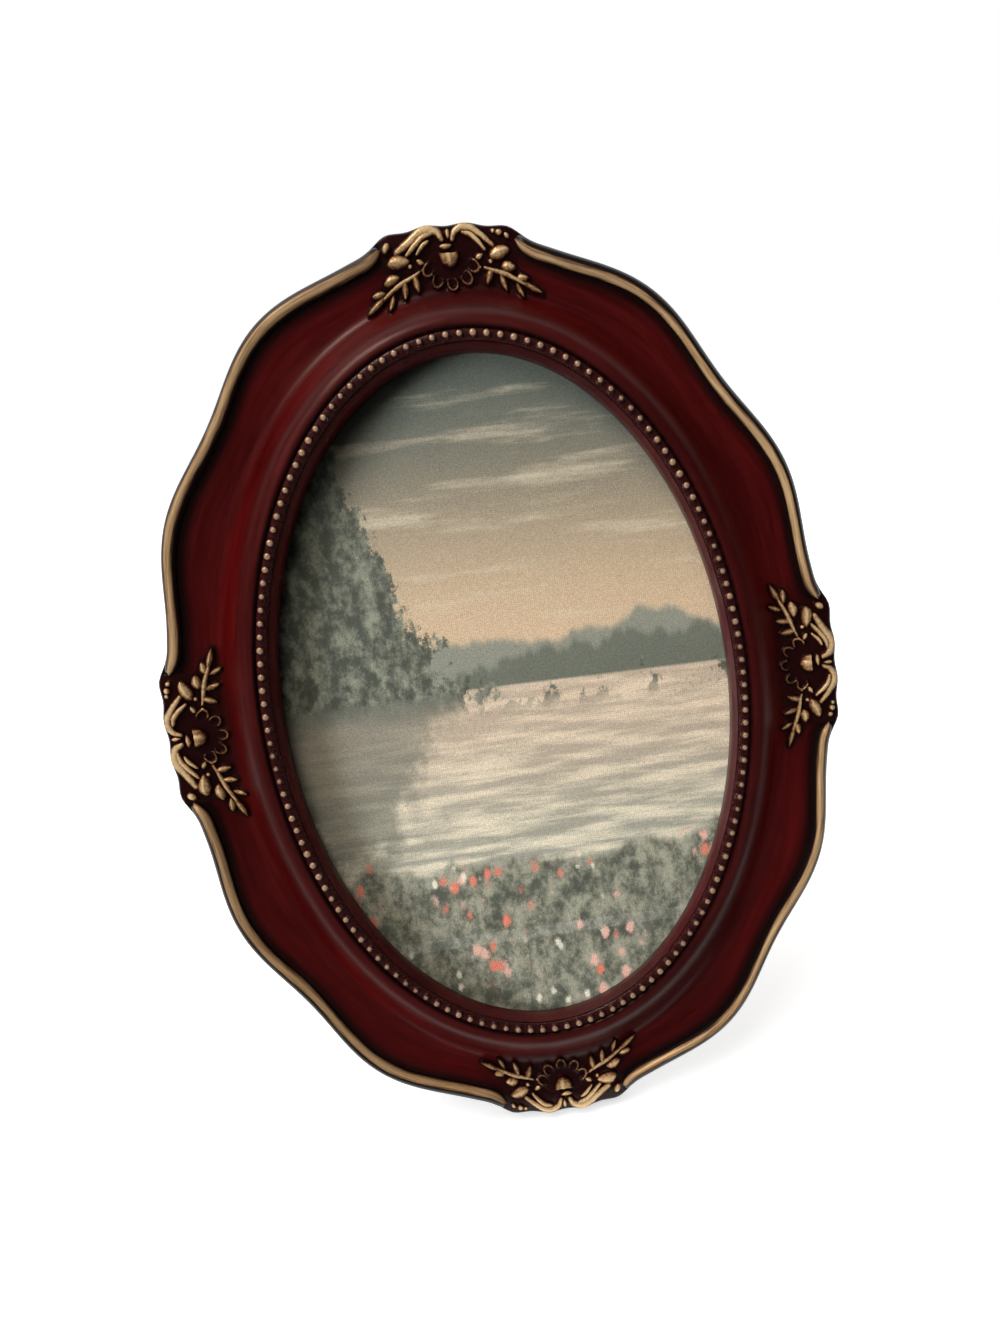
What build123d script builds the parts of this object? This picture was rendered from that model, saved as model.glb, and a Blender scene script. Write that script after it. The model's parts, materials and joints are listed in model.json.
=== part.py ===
from build123d import *
import math
import os

# Oval picture frame with a waved moulding, four gilt ornaments and an easel back. Millimetres.
# The pieces are made flat, front up: X to the right, Y up the frame, Z out of the front, with the
# back of the moulding at Z = 0. The whole frame is then leaned back on its opened leg.

# Plan of the moulding
SIGHT_HALF_WIDTH = 56.6
SIGHT_HALF_HEIGHT = 84.2
MOULDING_WIDTH = 28.0
CRESTS = 12
ORNAMENTS = 4
WAVE = 1.4
SHELF = 1.1
SHELF_RISE = 0.9
WAVE_START = 13.0
CURVE_POINTS = 120

# Section of the moulding, from the sight edge out
LIP_SLOPE = 1.4
CHANNEL_START = 1.3
CHANNEL_WIDTH = 3.1
CHANNEL_HEIGHT = 12.6
RIDGE_WIDTH = 0.7
RIDGE_HEIGHT = 13.6
COVE_FLOOR_OFFSET = 15.5
COVE_FLOOR_HEIGHT = 7.6
LAND_WIDTH = 4.2
LAND_HEIGHT = 8.5
BACK_BEVEL = 0.5
SHOULDER_STEPS = 5
COVE_STEPS = 2
CUT_MARGIN = 1.0

# Gilt edge and beads
RIM_WIDTH = 3.6
RIM_HEIGHT = 2.4
RIM_GAP = 32.0
RIM_STEPS = 5
BEADS = 144
BEAD_RADIUS = 1.35
BEAD_HEIGHT = 1.5
BEAD_SIDES = 8
BEAD_TAPER = 35.0
STRIP_THICKNESS = 0.5
STRIP_CLEARANCE = 0.15

# Ornaments: places are along the edge from the crest and in from the edge
GROUND_THICKNESS = 0.6
RELIEF = 1.6
RELIEF_TAPER = 28.0
EDGE_CLEARANCE = 0.6
GROUND = (
    (0, EDGE_CLEARANCE),
    (15.6, EDGE_CLEARANCE),
    (15.8, 6),
    (19, 7.5),
    (22.5, 11.5),
    (21, 14.4),
    (15, 14.9),
    (6, 13.6),
)
# along, in, length, width, turn away from the edge's direction
LEAVES = (
    (11.8, 6.4, 5.4, 2.5, 8),
    (13.7, 9.0, 3.8, 1.8, 4),
    (17.1, 9.9, 3.6, 1.6, 6),
    (18.8, 11.8, 5.4, 1.9, -18),
    (8.4, 11.4, 3.0, 1.4, -80),
    (11.5, 12.3, 3.0, 1.4, -72),
    (15.2, 13.3, 3.0, 1.4, -66),
)
STEM = (13.3, 10.4, 11.0, 1.1, -14)
BUD_PLACE = 7.6
BUD_WIDTH = 5.4
BUD_LENGTH = 3.4
CROWN_LEAF = (0, 5.1, 3.8, 1.7, 0)
PETALS = 5
PETAL_RADIUS = 1.4
PETAL_RING_RADIUS = 4.6
PETAL_SPREAD = 36.0
SCROLL_PLACE = (6.0, 5.6)
SCROLL_RADII = (4.6, 2.8)
SCROLL_RIB_WIDTH = 1.5
SCROLL_SWEEP = 160.0
SCROLL_SIDES = 6
PEARLS = ((14.3, 1.9), (12.4, 2.8))
PEARL_RADIUS = 0.8

# Glass, print and board in the rebate
GLASS_HALF_WIDTH = 63.5
GLASS_HALF_HEIGHT = 88.9
REBATE_CLEARANCE = 0.4
GLASS_THICKNESS = 2.0
PRINT_THICKNESS = 0.3
CARD_THICKNESS = 1.8
BOARD_THICKNESS = 3.2

# Turn buttons
BUTTON_ANGLES = (45.0, 135.0, 225.0, 315.0)
BUTTON_MARGIN = 4.7
BUTTON_LENGTH = 15.0
BUTTON_WIDTH = 7.0
BUTTON_TIP_RADIUS = 2.3
BUTTON_THICKNESS = 0.8
BUTTON_GAP = 0.1
SCREW_RADIUS = 1.5
SCREW_HEAD_RADIUS = 2.9
SCREW_HEAD_HEIGHT = 1.3
SCREW_DEPTH = 5.0
RUNNING_CLEARANCE = 0.05

# Easel leg and its hinge
LEAN = 15.0
LEG_OPENING = 30.0
PIVOT_HEIGHT = 26.0
LEAF_THICKNESS = 1.0
LEAF_WIDTH = 24.0
LEAF_LENGTH = 17.0
LEG_THICKNESS = 2.4
LEG_TOP_WIDTH = 26.0
LEG_FOOT_WIDTH = 54.0
LEG_SPARE = 5.0
LEG_GAP = 0.5
BARREL_RADIUS = 1.5
BARREL_GAP = 0.3
MIDDLE_BARREL = 8.0
PIN_RADIUS = 0.75
PIN_HEAD_RADIUS = 1.2
PIN_HEAD_HEIGHT = 0.6
PIN_HEAD_GAP = 0.1
STOP_GAP = 0.06
RIVET_RADIUS = 1.0
RIVET_HEAD_RADIUS = 2.0
RIVET_HEAD_HEIGHT = 0.8
RIVET_DEPTH = 1.8
RIVET_SPACING = 12.0
RIVET_PLACE = 10.0

# Hanger
HANGER_MARGIN = 0.6
STRAP_WIDTH = 7.0
STRAP_LENGTH = 10.0
STRAP_THICKNESS = 0.8
STRAP_BARREL_RADIUS = 1.6
HANGER_RIVET_PLACE = 6.2
WIRE_RADIUS = 0.8
RING_WIDTH = 13.0
RING_LENGTH = 11.0

SHOULDER_START = CHANNEL_START + CHANNEL_WIDTH + RIDGE_WIDTH
LAND_START = MOULDING_WIDTH - LAND_WIDTH
REBATE_HALF_WIDTH = GLASS_HALF_WIDTH + REBATE_CLEARANCE
REBATE_HALF_HEIGHT = GLASS_HALF_HEIGHT + REBATE_CLEARANCE
REBATE_DEPTH = GLASS_THICKNESS + PRINT_THICKNESS + CARD_THICKNESS + BOARD_THICKNESS
PIVOT_DEPTH = LEG_GAP + LEG_THICKNESS / 2
HOLE_RADIUS = RIVET_RADIUS + RUNNING_CLEARANCE
FAR = 4 * (SIGHT_HALF_HEIGHT + MOULDING_WIDTH)


def eased(start, end, share):
    """Value that leaves start and reaches end with level tangents."""
    return start + (end - start) * (1 - math.cos(math.pi * share)) / 2


def section():
    """Stations of the front face as (distance out from the sight edge, height), from the edge in."""
    cove = [
        (
            LAND_START + (COVE_FLOOR_OFFSET - LAND_START) * step / COVE_STEPS,
            eased(LAND_HEIGHT, COVE_FLOOR_HEIGHT, step / COVE_STEPS),
        )
        for step in range(COVE_STEPS)
    ]
    shoulder = [
        (
            COVE_FLOOR_OFFSET + (SHOULDER_START - COVE_FLOOR_OFFSET) * step / SHOULDER_STEPS,
            eased(COVE_FLOOR_HEIGHT, RIDGE_HEIGHT, step / SHOULDER_STEPS),
        )
        for step in range(SHOULDER_STEPS + 1)
    ]
    return [
        (MOULDING_WIDTH, LAND_HEIGHT),
        *cove,
        *shoulder,
        (CHANNEL_START + CHANNEL_WIDTH, CHANNEL_HEIGHT),
        (CHANNEL_START, CHANNEL_HEIGHT),
        (-CHANNEL_START, CHANNEL_HEIGHT - 2 * LIP_SLOPE * CHANNEL_START),
    ]


def wave_height(even):
    """How far the edge stands out of its oval: round crests, and a flat shelf at each ornament."""
    crest = math.cos(CRESTS * even)
    number = round(CRESTS * even / math.tau)
    if number % (CRESTS // ORNAMENTS):
        return WAVE * crest
    return eased(-WAVE, SHELF, min((crest + 1) / SHELF_RISE, 1))


def oval_point(angle, offset, height):
    """Point beside the oval: the sight edge's ellipse grown by offset, waved towards the outer edge."""
    a = SIGHT_HALF_WIDTH + offset
    b = SIGHT_HALF_HEIGHT + offset
    t = math.radians(angle)
    share = min(max((offset - WAVE_START) / (LAND_START - WAVE_START), 0), 1)
    even = t + (b - a) / (2 * (a + b)) * math.sin(2 * t)
    wave = eased(0, wave_height(even), share)
    normal = Vector(b * math.cos(t), a * math.sin(t)).normalized()
    return Vector(a * math.cos(t), b * math.sin(t), height) + normal * wave


def ring_face(offset, height):
    """Level face inside the closed curve at an offset from the sight edge."""
    if offset <= WAVE_START:
        return Pos(Z=height) * Ellipse(SIGHT_HALF_WIDTH + offset, SIGHT_HALF_HEIGHT + offset)
    points = [oval_point(360 * k / CURVE_POINTS, offset, height) for k in range(CURVE_POINTS)]
    return Face(Wire([Edge.make_spline(points, periodic=True)]))


def oval_plate(half_width, half_height, low, high):
    """Plain oval plate between two heights."""
    return extrude(Pos(Z=low) * Ellipse(half_width, half_height), high - low)


def frame_moulding():
    """Moulding with the sight opening, the rebate and the holes of the screws and the hanger's rivet."""
    side = [(MOULDING_WIDTH - BACK_BEVEL, 0.0), (MOULDING_WIDTH, BACK_BEVEL)]
    blank = loft([ring_face(offset, height) for offset, height in side + section()], ruled=True)
    top = RIDGE_HEIGHT + CUT_MARGIN
    sight = oval_plate(SIGHT_HALF_WIDTH, SIGHT_HALF_HEIGHT, -CUT_MARGIN, top)
    rebate = oval_plate(REBATE_HALF_WIDTH, REBATE_HALF_HEIGHT, -CUT_MARGIN, REBATE_DEPTH)
    pilot = Pos(Z=SCREW_DEPTH / 2) * Cylinder(SCREW_RADIUS + RUNNING_CLEARANCE, SCREW_DEPTH)
    holes = [place * pilot for place in button_places()]
    holes.append(hanger_rivet_place() * Pos(Z=RIVET_DEPTH / 2) * Cylinder(HOLE_RADIUS, RIVET_DEPTH))
    return blank - [sight, rebate, *holes]


def gilt_rim():
    """One stretch of the half-round gilt edge, from the right ornament to the top one."""
    outer = MOULDING_WIDTH - (LAND_WIDTH - RIM_WIDTH) / 2
    arch = [(outer, LAND_HEIGHT - RIM_HEIGHT)]
    for step in range(RIM_STEPS + 1):
        turn = math.pi * step / RIM_STEPS
        offset = outer - RIM_WIDTH / 2 * (1 - math.cos(turn))
        arch.append((offset, LAND_HEIGHT + RIM_HEIGHT * math.sin(turn)))
    arch.append((outer - RIM_WIDTH, LAND_HEIGHT - RIM_HEIGHT / 2))
    ring = loft([ring_face(offset, height) for offset, height in arch], ruled=True)
    corner = Pos(RIM_GAP / 2, RIM_GAP / 2, LAND_HEIGHT) * Box(FAR, FAR, FAR, align=(Align.MIN,) * 3)
    return ring & corner


def bead_strip():
    """Flat strip in the channel with its ring of beads."""
    inner = CHANNEL_START + STRIP_CLEARANCE
    outer = CHANNEL_START + CHANNEL_WIDTH - STRIP_CLEARANCE
    low = CHANNEL_HEIGHT
    high = CHANNEL_HEIGHT + STRIP_THICKNESS
    strip = oval_plate(SIGHT_HALF_WIDTH + outer, SIGHT_HALF_HEIGHT + outer, low, high)
    strip -= oval_plate(SIGHT_HALF_WIDTH + inner, SIGHT_HALF_HEIGHT + inner, low, high)
    middle = (inner + outer) / 2
    line = Edge.make_ellipse(SIGHT_HALF_WIDTH + middle, SIGHT_HALF_HEIGHT + middle)
    bead = extrude(RegularPolygon(BEAD_RADIUS, BEAD_SIDES), BEAD_HEIGHT, taper=BEAD_TAPER)
    beads = [Pos(*line.position_at(k / BEADS)) * Pos(Z=high) * bead for k in range(BEADS)]
    return strip.fuse(*beads)


def edge_place(crest, along, inward):
    """Place on the moulding's face, X along the edge, given from the crest's outer edge."""
    t = math.radians(crest)
    offset = MOULDING_WIDTH - inward
    a = SIGHT_HALF_WIDTH + offset
    b = SIGHT_HALF_HEIGHT + offset
    angle = crest - math.degrees(along / math.hypot(a * math.sin(t), b * math.cos(t)))
    point = oval_point(angle, offset, LAND_HEIGHT)
    inside = oval_point(angle, 0, LAND_HEIGHT)
    turn = math.degrees(math.atan2(point.Y - inside.Y, point.X - inside.X)) - 90
    return Pos(*point) * Rot(Z=turn)


def leaf_shape(length, width):
    """Leaf with a point at each end."""
    x = length / 2
    y = width / 2
    points = ((-x, 0), (-x / 2, -y), (x / 3, -y), (x, 0), (x / 3, y), (-x / 2, y))
    return make_face(Polyline(*points, close=True))


def scroll_shape(radius):
    """Curved rib of a scroll, in short straight lengths."""
    turns = [math.radians(90 + SCROLL_SWEEP * (k / SCROLL_SIDES - 0.5)) for k in range(SCROLL_SIDES + 1)]
    outer = [(radius * math.cos(turn), radius * math.sin(turn)) for turn in turns]
    thin = radius - SCROLL_RIB_WIDTH
    inner = [(thin * math.cos(turn), thin * math.sin(turn)) for turn in reversed(turns)]
    return make_face(Polyline(*outer, *inner, close=True))


def ornament_shapes(crest):
    """Flat shapes of the leaves, stems, scrolls, pearls, bud and petals of one ornament, in place."""
    shapes = []
    for side in (1, -1):
        for along, inward, length, width, turn in (*LEAVES, STEM):
            leaf = Rot(Z=side * turn + 90 - 90 * side) * leaf_shape(length, width)
            shapes.append(edge_place(crest, side * along, inward) * leaf)
        for radius in SCROLL_RADII:
            shapes.append(edge_place(crest, side * SCROLL_PLACE[0], SCROLL_PLACE[1]) * scroll_shape(radius))
        for along, inward in PEARLS:
            shapes.append(edge_place(crest, side * along, inward) * RegularPolygon(PEARL_RADIUS, BEAD_SIDES))
    along, inward, length, width, turn = CROWN_LEAF
    shapes.append(edge_place(crest, along, inward) * Rot(Z=turn) * leaf_shape(length, width))
    shapes.append(edge_place(crest, 0, BUD_PLACE) * leaf_shape(BUD_WIDTH, BUD_LENGTH))
    for k in range(PETALS):
        turn = math.radians(PETAL_SPREAD * (k - (PETALS - 1) / 2))
        along = PETAL_RING_RADIUS * math.sin(turn)
        inward = BUD_PLACE + PETAL_RING_RADIUS * math.cos(turn)
        shapes.append(edge_place(crest, along, inward) * RegularPolygon(PETAL_RADIUS, BEAD_SIDES))
    return shapes


def ornament(crest):
    """Gilt casting on one crest: a thin ground seated on the land, and its reliefs."""
    half = [edge_place(crest, along, inward).position for along, inward in GROUND]
    other = [edge_place(crest, -along, inward).position for along, inward in reversed(GROUND[1:])]
    ground = extrude(make_face(Polyline(*half, *other, close=True)), GROUND_THICKNESS)
    reliefs = [
        extrude(shape, GROUND_THICKNESS + RELIEF, dir=(0, 0, 1), taper=RELIEF_TAPER)
        for shape in ornament_shapes(crest)
    ]
    return ground.fuse(*reliefs)


def pack_plate(low, thickness):
    """Oval plate of the size of the glass, at a height in the rebate."""
    return oval_plate(GLASS_HALF_WIDTH, GLASS_HALF_HEIGHT, low, low + thickness)


def button_places():
    """Where the turn buttons pivot on the moulding's back, X pointing in to the board."""
    places = []
    a = REBATE_HALF_WIDTH + BUTTON_MARGIN
    b = REBATE_HALF_HEIGHT + BUTTON_MARGIN
    for angle in BUTTON_ANGLES:
        t = math.radians(angle)
        inward = math.degrees(math.atan2(-a * math.sin(t), -b * math.cos(t)))
        places.append(Pos(a * math.cos(t), b * math.sin(t)) * Rot(Z=inward))
    return places


def turn_button():
    """Flat button with a round end at its screw and a narrower one over the board."""
    end = BUTTON_LENGTH - BUTTON_WIDTH
    shape = make_hull([*Circle(BUTTON_WIDTH / 2).edges(), *(Pos(end) * Circle(BUTTON_TIP_RADIUS)).edges()])
    plate = extrude(Pos(Z=-BUTTON_GAP) * shape, -BUTTON_THICKNESS)
    return plate - Cylinder(SCREW_RADIUS + RUNNING_CLEARANCE, 4 * BUTTON_THICKNESS)


def button_screw():
    """Screw with a domed head, through the button into the moulding."""
    shank_low = -2 * BUTTON_GAP - BUTTON_THICKNESS
    length = SCREW_DEPTH - shank_low
    shank = Pos(Z=shank_low) * Cylinder(SCREW_RADIUS, length, align=(Align.CENTER, Align.CENTER, Align.MIN))
    head = Cone(
        SCREW_HEAD_RADIUS / 2,
        SCREW_HEAD_RADIUS,
        SCREW_HEAD_HEIGHT,
        align=(Align.CENTER, Align.CENTER, Align.MAX),
    )
    return shank + Pos(Z=shank_low) * head


def rivet(under_head):
    """Rivet driven towards +Z, with its head under a face at Z = 0 and its shank this far past it."""
    head = Cone(
        RIVET_HEAD_RADIUS / 2,
        RIVET_HEAD_RADIUS,
        RIVET_HEAD_HEIGHT,
        align=(Align.CENTER, Align.CENTER, Align.MAX),
    )
    return head + Cylinder(RIVET_RADIUS, under_head, align=(Align.CENTER, Align.CENTER, Align.MIN))


def pivot_place():
    """Where the leg's hinge turns, behind the board."""
    return Pos(Y=PIVOT_HEIGHT, Z=-PIVOT_DEPTH)


def barrel(start, end):
    """Stretch of the hinge's barrel round the X axis."""
    return Pos((start + end) / 2) * Rot(Y=90) * Cylinder(BARREL_RADIUS, end - start)


def pin_bore():
    """Bore of the hinge."""
    return Rot(Y=90) * Cylinder(PIN_RADIUS + RUNNING_CLEARANCE, 2 * LEAF_WIDTH)


def leaf_rivet_places():
    """Rivets of one leaf, up from the hinge's axis."""
    return [Pos(side * RIVET_SPACING / 2, RIVET_PLACE) for side in (1, -1)]


def hinge_fixed_leaf():
    """Leaf on the board with the two outer barrels, as placed round the hinge's axis."""
    plate = Pos(Y=LEAF_LENGTH / 2, Z=PIVOT_DEPTH - LEAF_THICKNESS / 2) * Box(
        LEAF_WIDTH, LEAF_LENGTH, LEAF_THICKNESS
    )
    inner = MIDDLE_BARREL / 2 + BARREL_GAP
    middle_room = Box(2 * inner, 2 * (BARREL_RADIUS + BARREL_GAP), 2 * PIVOT_DEPTH)
    barrels = barrel(inner, LEAF_WIDTH / 2) + barrel(-LEAF_WIDTH / 2, -inner)
    holes = [place * Cylinder(HOLE_RADIUS, 4 * PIVOT_DEPTH) for place in leaf_rivet_places()]
    return plate - middle_room + barrels - [pin_bore(), *holes]


def hinge_leg_leaf():
    """Leaf behind the leg with the middle barrel, and a tail above it that stops the leg when open."""
    low = -LEG_THICKNESS / 2 - LEAF_THICKNESS
    plate = Pos(Y=-LEAF_LENGTH / 2 - BARREL_RADIUS - BARREL_GAP, Z=low + LEAF_THICKNESS / 2) * Box(
        LEAF_WIDTH, LEAF_LENGTH, LEAF_THICKNESS
    )
    turn = math.radians(LEG_OPENING)
    reach = PIVOT_DEPTH - LEAF_THICKNESS - STOP_GAP
    tail = (reach + LEG_THICKNESS / 2 * math.cos(turn)) / math.sin(turn)
    neck = Pos(Y=tail, Z=low) * Box(
        MIDDLE_BARREL,
        tail + BARREL_RADIUS + 2 * BARREL_GAP,
        LEAF_THICKNESS,
        align=(Align.CENTER, Align.MAX, Align.MIN),
    )
    holes = [Rot(X=180) * place * Cylinder(HOLE_RADIUS, 4 * PIVOT_DEPTH) for place in leaf_rivet_places()]
    return plate + neck + barrel(-MIDDLE_BARREL / 2, MIDDLE_BARREL / 2) - [pin_bore(), *holes]


def hinge_pin():
    """Headed pin through the three barrels."""
    pin = Rot(Y=90) * Cylinder(PIN_RADIUS, LEAF_WIDTH + 2 * PIN_HEAD_HEIGHT)
    head = Rot(Y=90) * Cylinder(PIN_HEAD_RADIUS, PIN_HEAD_HEIGHT)
    place = LEAF_WIDTH / 2 + PIN_HEAD_GAP + PIN_HEAD_HEIGHT / 2
    return pin + Pos(place) * head + Pos(-place) * head


def easel_leg(length):
    """Flared leg, as folded, hanging down from the hinge's axis."""
    top = -BARREL_RADIUS - 2 * BARREL_GAP
    shape = make_face(
        Polyline(
            (-LEG_TOP_WIDTH / 2, top),
            (LEG_TOP_WIDTH / 2, top),
            (LEG_FOOT_WIDTH / 2, -length),
            (-LEG_FOOT_WIDTH / 2, -length),
            close=True,
        )
    )
    plate = extrude(Pos(Z=-LEG_THICKNESS / 2) * shape, LEG_THICKNESS)
    holes = [Rot(X=180) * place * Cylinder(HOLE_RADIUS, 4 * PIVOT_DEPTH) for place in leaf_rivet_places()]
    return plate - holes


def hanger_place():
    """Where the hanger's ring swings, at the top of its strap."""
    return Pos(Y=REBATE_HALF_HEIGHT + HANGER_MARGIN + STRAP_LENGTH, Z=-STRAP_BARREL_RADIUS)


def hanger_rivet_place():
    """Rivet of the strap, on the moulding's back."""
    return Pos(Z=STRAP_BARREL_RADIUS) * hanger_place() * Pos(Y=-HANGER_RIVET_PLACE)


def hanger_strap():
    """Strap rolled round the ring's bar and riveted to the moulding."""
    plate = Pos(Y=-STRAP_LENGTH / 2, Z=STRAP_BARREL_RADIUS - STRAP_THICKNESS / 2) * Box(
        STRAP_WIDTH, STRAP_LENGTH, STRAP_THICKNESS
    )
    roll = Rot(Y=90) * Cylinder(STRAP_BARREL_RADIUS, STRAP_WIDTH)
    bore = Rot(Y=90) * Cylinder(WIRE_RADIUS + RUNNING_CLEARANCE, 2 * STRAP_WIDTH)
    hole = Pos(Y=-HANGER_RIVET_PLACE) * Cylinder(HOLE_RADIUS, 4 * STRAP_BARREL_RADIUS)
    return hanger_place() * (plate + roll - [bore, hole])


def hanger_ring():
    """Wire ring with a straight bar, hanging down from the bar."""
    x = RING_WIDTH / 2
    corner = 3 * WIRE_RADIUS
    drop = RING_LENGTH - x
    path = Wire(
        [
            Line((-x + corner, 0), (x - corner, 0)),
            CenterArc((x - corner, -corner), corner, 0, 90),
            Line((x, -corner), (x, -drop)),
            CenterArc((0, -drop), x, 180, 180),
            Line((-x, -drop), (-x, -corner)),
            CenterArc((-x + corner, -corner), corner, 90, 90),
        ]
    )
    return sweep(Plane(path @ 0, z_dir=path % 0) * Circle(WIRE_RADIUS), path)


def floor_height():
    """Height of the lowest edge of the leaned moulding, measured from the middle of the frame."""
    lean = math.radians(LEAN)
    edges = ((MOULDING_WIDTH - BACK_BEVEL, 0), (MOULDING_WIDTH, BACK_BEVEL))
    low = [oval_point(270, offset, height) for offset, height in edges]
    return min(point.Y * math.cos(lean) + point.Z * math.sin(lean) for point in low)


def leaned():
    """Stands the flat frame up and leans it back."""
    return Pos(Z=-floor_height()) * Rot(X=90 - LEAN)


def leg_length():
    """Length of the leg from its hinge to past the floor."""
    lean = math.radians(LEAN)
    pivot = PIVOT_HEIGHT * math.cos(lean) - PIVOT_DEPTH * math.sin(lean) - floor_height()
    return pivot / math.cos(math.radians(LEG_OPENING - LEAN)) + LEG_SPARE


def build():
    """All pieces by name, standing on the floor with the box's middle over the origin."""
    rim = gilt_rim()
    flat = {
        "frame_moulding": frame_moulding(),
        "gilt_rim_upper_right": rim,
        "gilt_rim_upper_left": mirror(rim, about=Plane.YZ),
        "gilt_rim_lower_right": mirror(rim, about=Plane.XZ),
        "gilt_rim_lower_left": Rot(Z=180) * rim,
        "bead_strip": bead_strip(),
    }
    for name, crest in (("right", 0), ("top", 90), ("left", 180), ("bottom", 270)):
        flat[f"ornament_{name}"] = ornament(crest)

    card_low = BOARD_THICKNESS
    print_low = card_low + CARD_THICKNESS
    glass_low = print_low + PRINT_THICKNESS
    rivet_holes = [
        pivot_place() * place * Pos(Z=PIVOT_DEPTH + RIVET_DEPTH / 2) * Cylinder(HOLE_RADIUS, RIVET_DEPTH)
        for place in leaf_rivet_places()
    ]
    flat["back_board"] = pack_plate(0, BOARD_THICKNESS) - rivet_holes
    flat["backing_card"] = pack_plate(card_low, CARD_THICKNESS)
    flat["photo_print"] = pack_plate(print_low, PRINT_THICKNESS)
    flat["glass_pane"] = pack_plate(glass_low, GLASS_THICKNESS)

    for number, place in enumerate(button_places(), 1):
        flat[f"turn_button_{number}"] = place * turn_button()
    flat["button_screws"] = Compound([place * button_screw() for place in button_places()])

    board_rivet = Pos(Z=PIVOT_DEPTH - LEAF_THICKNESS) * rivet(LEAF_THICKNESS + RIVET_DEPTH)
    flat["hinge_fixed_leaf"] = pivot_place() * hinge_fixed_leaf()
    flat["hinge_pin"] = pivot_place() * hinge_pin()
    flat["hinge_rivets"] = Compound([pivot_place() * place * board_rivet for place in leaf_rivet_places()])
    opened = pivot_place() * Rot(X=LEG_OPENING)
    leg_rivet = Pos(Z=-LEG_THICKNESS / 2 - LEAF_THICKNESS) * rivet(LEAF_THICKNESS + LEG_THICKNESS)
    flat["hinge_leg_leaf"] = opened * hinge_leg_leaf()
    flat["leg_rivets"] = Compound([opened * Rot(Z=180) * place * leg_rivet for place in leaf_rivet_places()])

    strap_rivet = Pos(Z=-STRAP_THICKNESS) * rivet(STRAP_THICKNESS + RIVET_DEPTH)
    flat["hanger_strap"] = hanger_strap()
    flat["hanger_rivet"] = hanger_rivet_place() * strap_rivet
    flat["hanger_ring"] = hanger_place() * Rot(X=LEAN) * hanger_ring()

    parts = {name: leaned() * shape for name, shape in flat.items()}
    below = Box(FAR, FAR, FAR, align=(Align.CENTER, Align.CENTER, Align.MAX))
    parts["easel_leg"] = leaned() * opened * easel_leg(leg_length()) - below
    boxes = [shape.bounding_box() for shape in parts.values()]
    front = min(box.min.Y for box in boxes)
    back = max(box.max.Y for box in boxes)
    return {name: Pos(Y=-(front + back) / 2) * shape for name, shape in parts.items()}


os.makedirs("parts", exist_ok=True)
for name, shape in build().items():
    export_step(shape, f"parts/{name}.step")
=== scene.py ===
import json
import math

import bmesh
import bpy
import numpy as np
from bpy.props import FloatProperty, FloatVectorProperty, IntProperty, PointerProperty
from mathutils import Matrix, Vector


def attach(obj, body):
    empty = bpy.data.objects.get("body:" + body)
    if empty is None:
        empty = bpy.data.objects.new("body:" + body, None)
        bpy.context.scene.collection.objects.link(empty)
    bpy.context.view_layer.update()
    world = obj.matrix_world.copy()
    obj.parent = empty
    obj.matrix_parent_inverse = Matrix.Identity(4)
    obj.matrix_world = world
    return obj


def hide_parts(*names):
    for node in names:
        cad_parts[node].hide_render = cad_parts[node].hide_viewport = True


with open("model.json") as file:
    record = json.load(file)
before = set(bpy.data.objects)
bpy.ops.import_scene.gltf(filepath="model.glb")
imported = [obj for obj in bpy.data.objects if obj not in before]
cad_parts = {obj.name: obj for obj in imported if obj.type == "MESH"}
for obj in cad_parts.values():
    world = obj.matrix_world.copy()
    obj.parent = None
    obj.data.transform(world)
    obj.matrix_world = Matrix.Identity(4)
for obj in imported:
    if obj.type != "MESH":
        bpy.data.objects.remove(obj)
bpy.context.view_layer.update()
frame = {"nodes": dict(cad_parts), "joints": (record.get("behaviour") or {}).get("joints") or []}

bl_info = {
    "name": "Oval Picture Frame",
    "version": (1, 0, 0),
    "blender": (4, 5, 0),
    "location": "View3D > Sidebar > Oval Frame",
    "description": "Lacquered oval frame with a waved moulding, gilt ornaments, beads and an easel back",
    "category": "Add Mesh",
}

MM = 0.001
JOINTS = {joint["name"]: Vector(joint["pos_m"]) for joint in frame["joints"]}

# How the frame leans, and where the leg's hinge is on it
LEAN = math.radians(15)
HINGE_UP = 0.026
HINGE_BEHIND = 0.0017

# Outer edge: share of a wave in which a shelf rises, and pitch of its dips as a share of a wave
SHELF_RISE = 0.9
SCALLOP_PITCH = 0.183
CRESTS = {"right": 0.0, "top": 90.0, "left": 180.0, "bottom": 270.0}

# Moulding's section, as offsets out from the opening and heights above the back
LIP = ((0.0, 0.0098), (0.0001, 0.0106), (0.0004, 0.0112), (0.0009, 0.0119))
CHANNEL_FROM = 0.0012
CHANNEL_CORNERS = (0.0015, 0.0041)
RIDGE_FOOT = (0.0043, 0.0004)
RIDGE_ROUND = (0.0046, 0.00015)
RIDGE_TOP = 0.0049
SHOULDER_FROM = 0.0051
COVE_FLOOR = 0.0155
SHOULDER_STEPS = 20
COVE_STEPS = 10
EDGE_ROUND = 0.0003
BACK_BEVEL = (0.0005, 0.0006)
REBATE_HALF = (0.0639, 0.0893)
REBATE_TOP = 0.0073
MOULDING_SIDES = 480

# Lacquer darkened in the cove round the ornaments
DARKENING_MIDDLE = 0.0185
DARKENING_REACH = 0.026
DARKENING_FADE = 0.017
DARKENING_FROM = 0.0095
DARKENING_RISE = 0.005

# Gilt edge
RIM_STEPS = 150
RIM_SIDES = 28
RIM_RUN = 0.118
RIM_END = 0.0035
RIM_TIP = 0.06
RIM_UNDER = 0.12
RIM_QUARTERS = {"upper_right": 0, "upper_left": 90, "lower_left": 180, "lower_right": 270}

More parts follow.
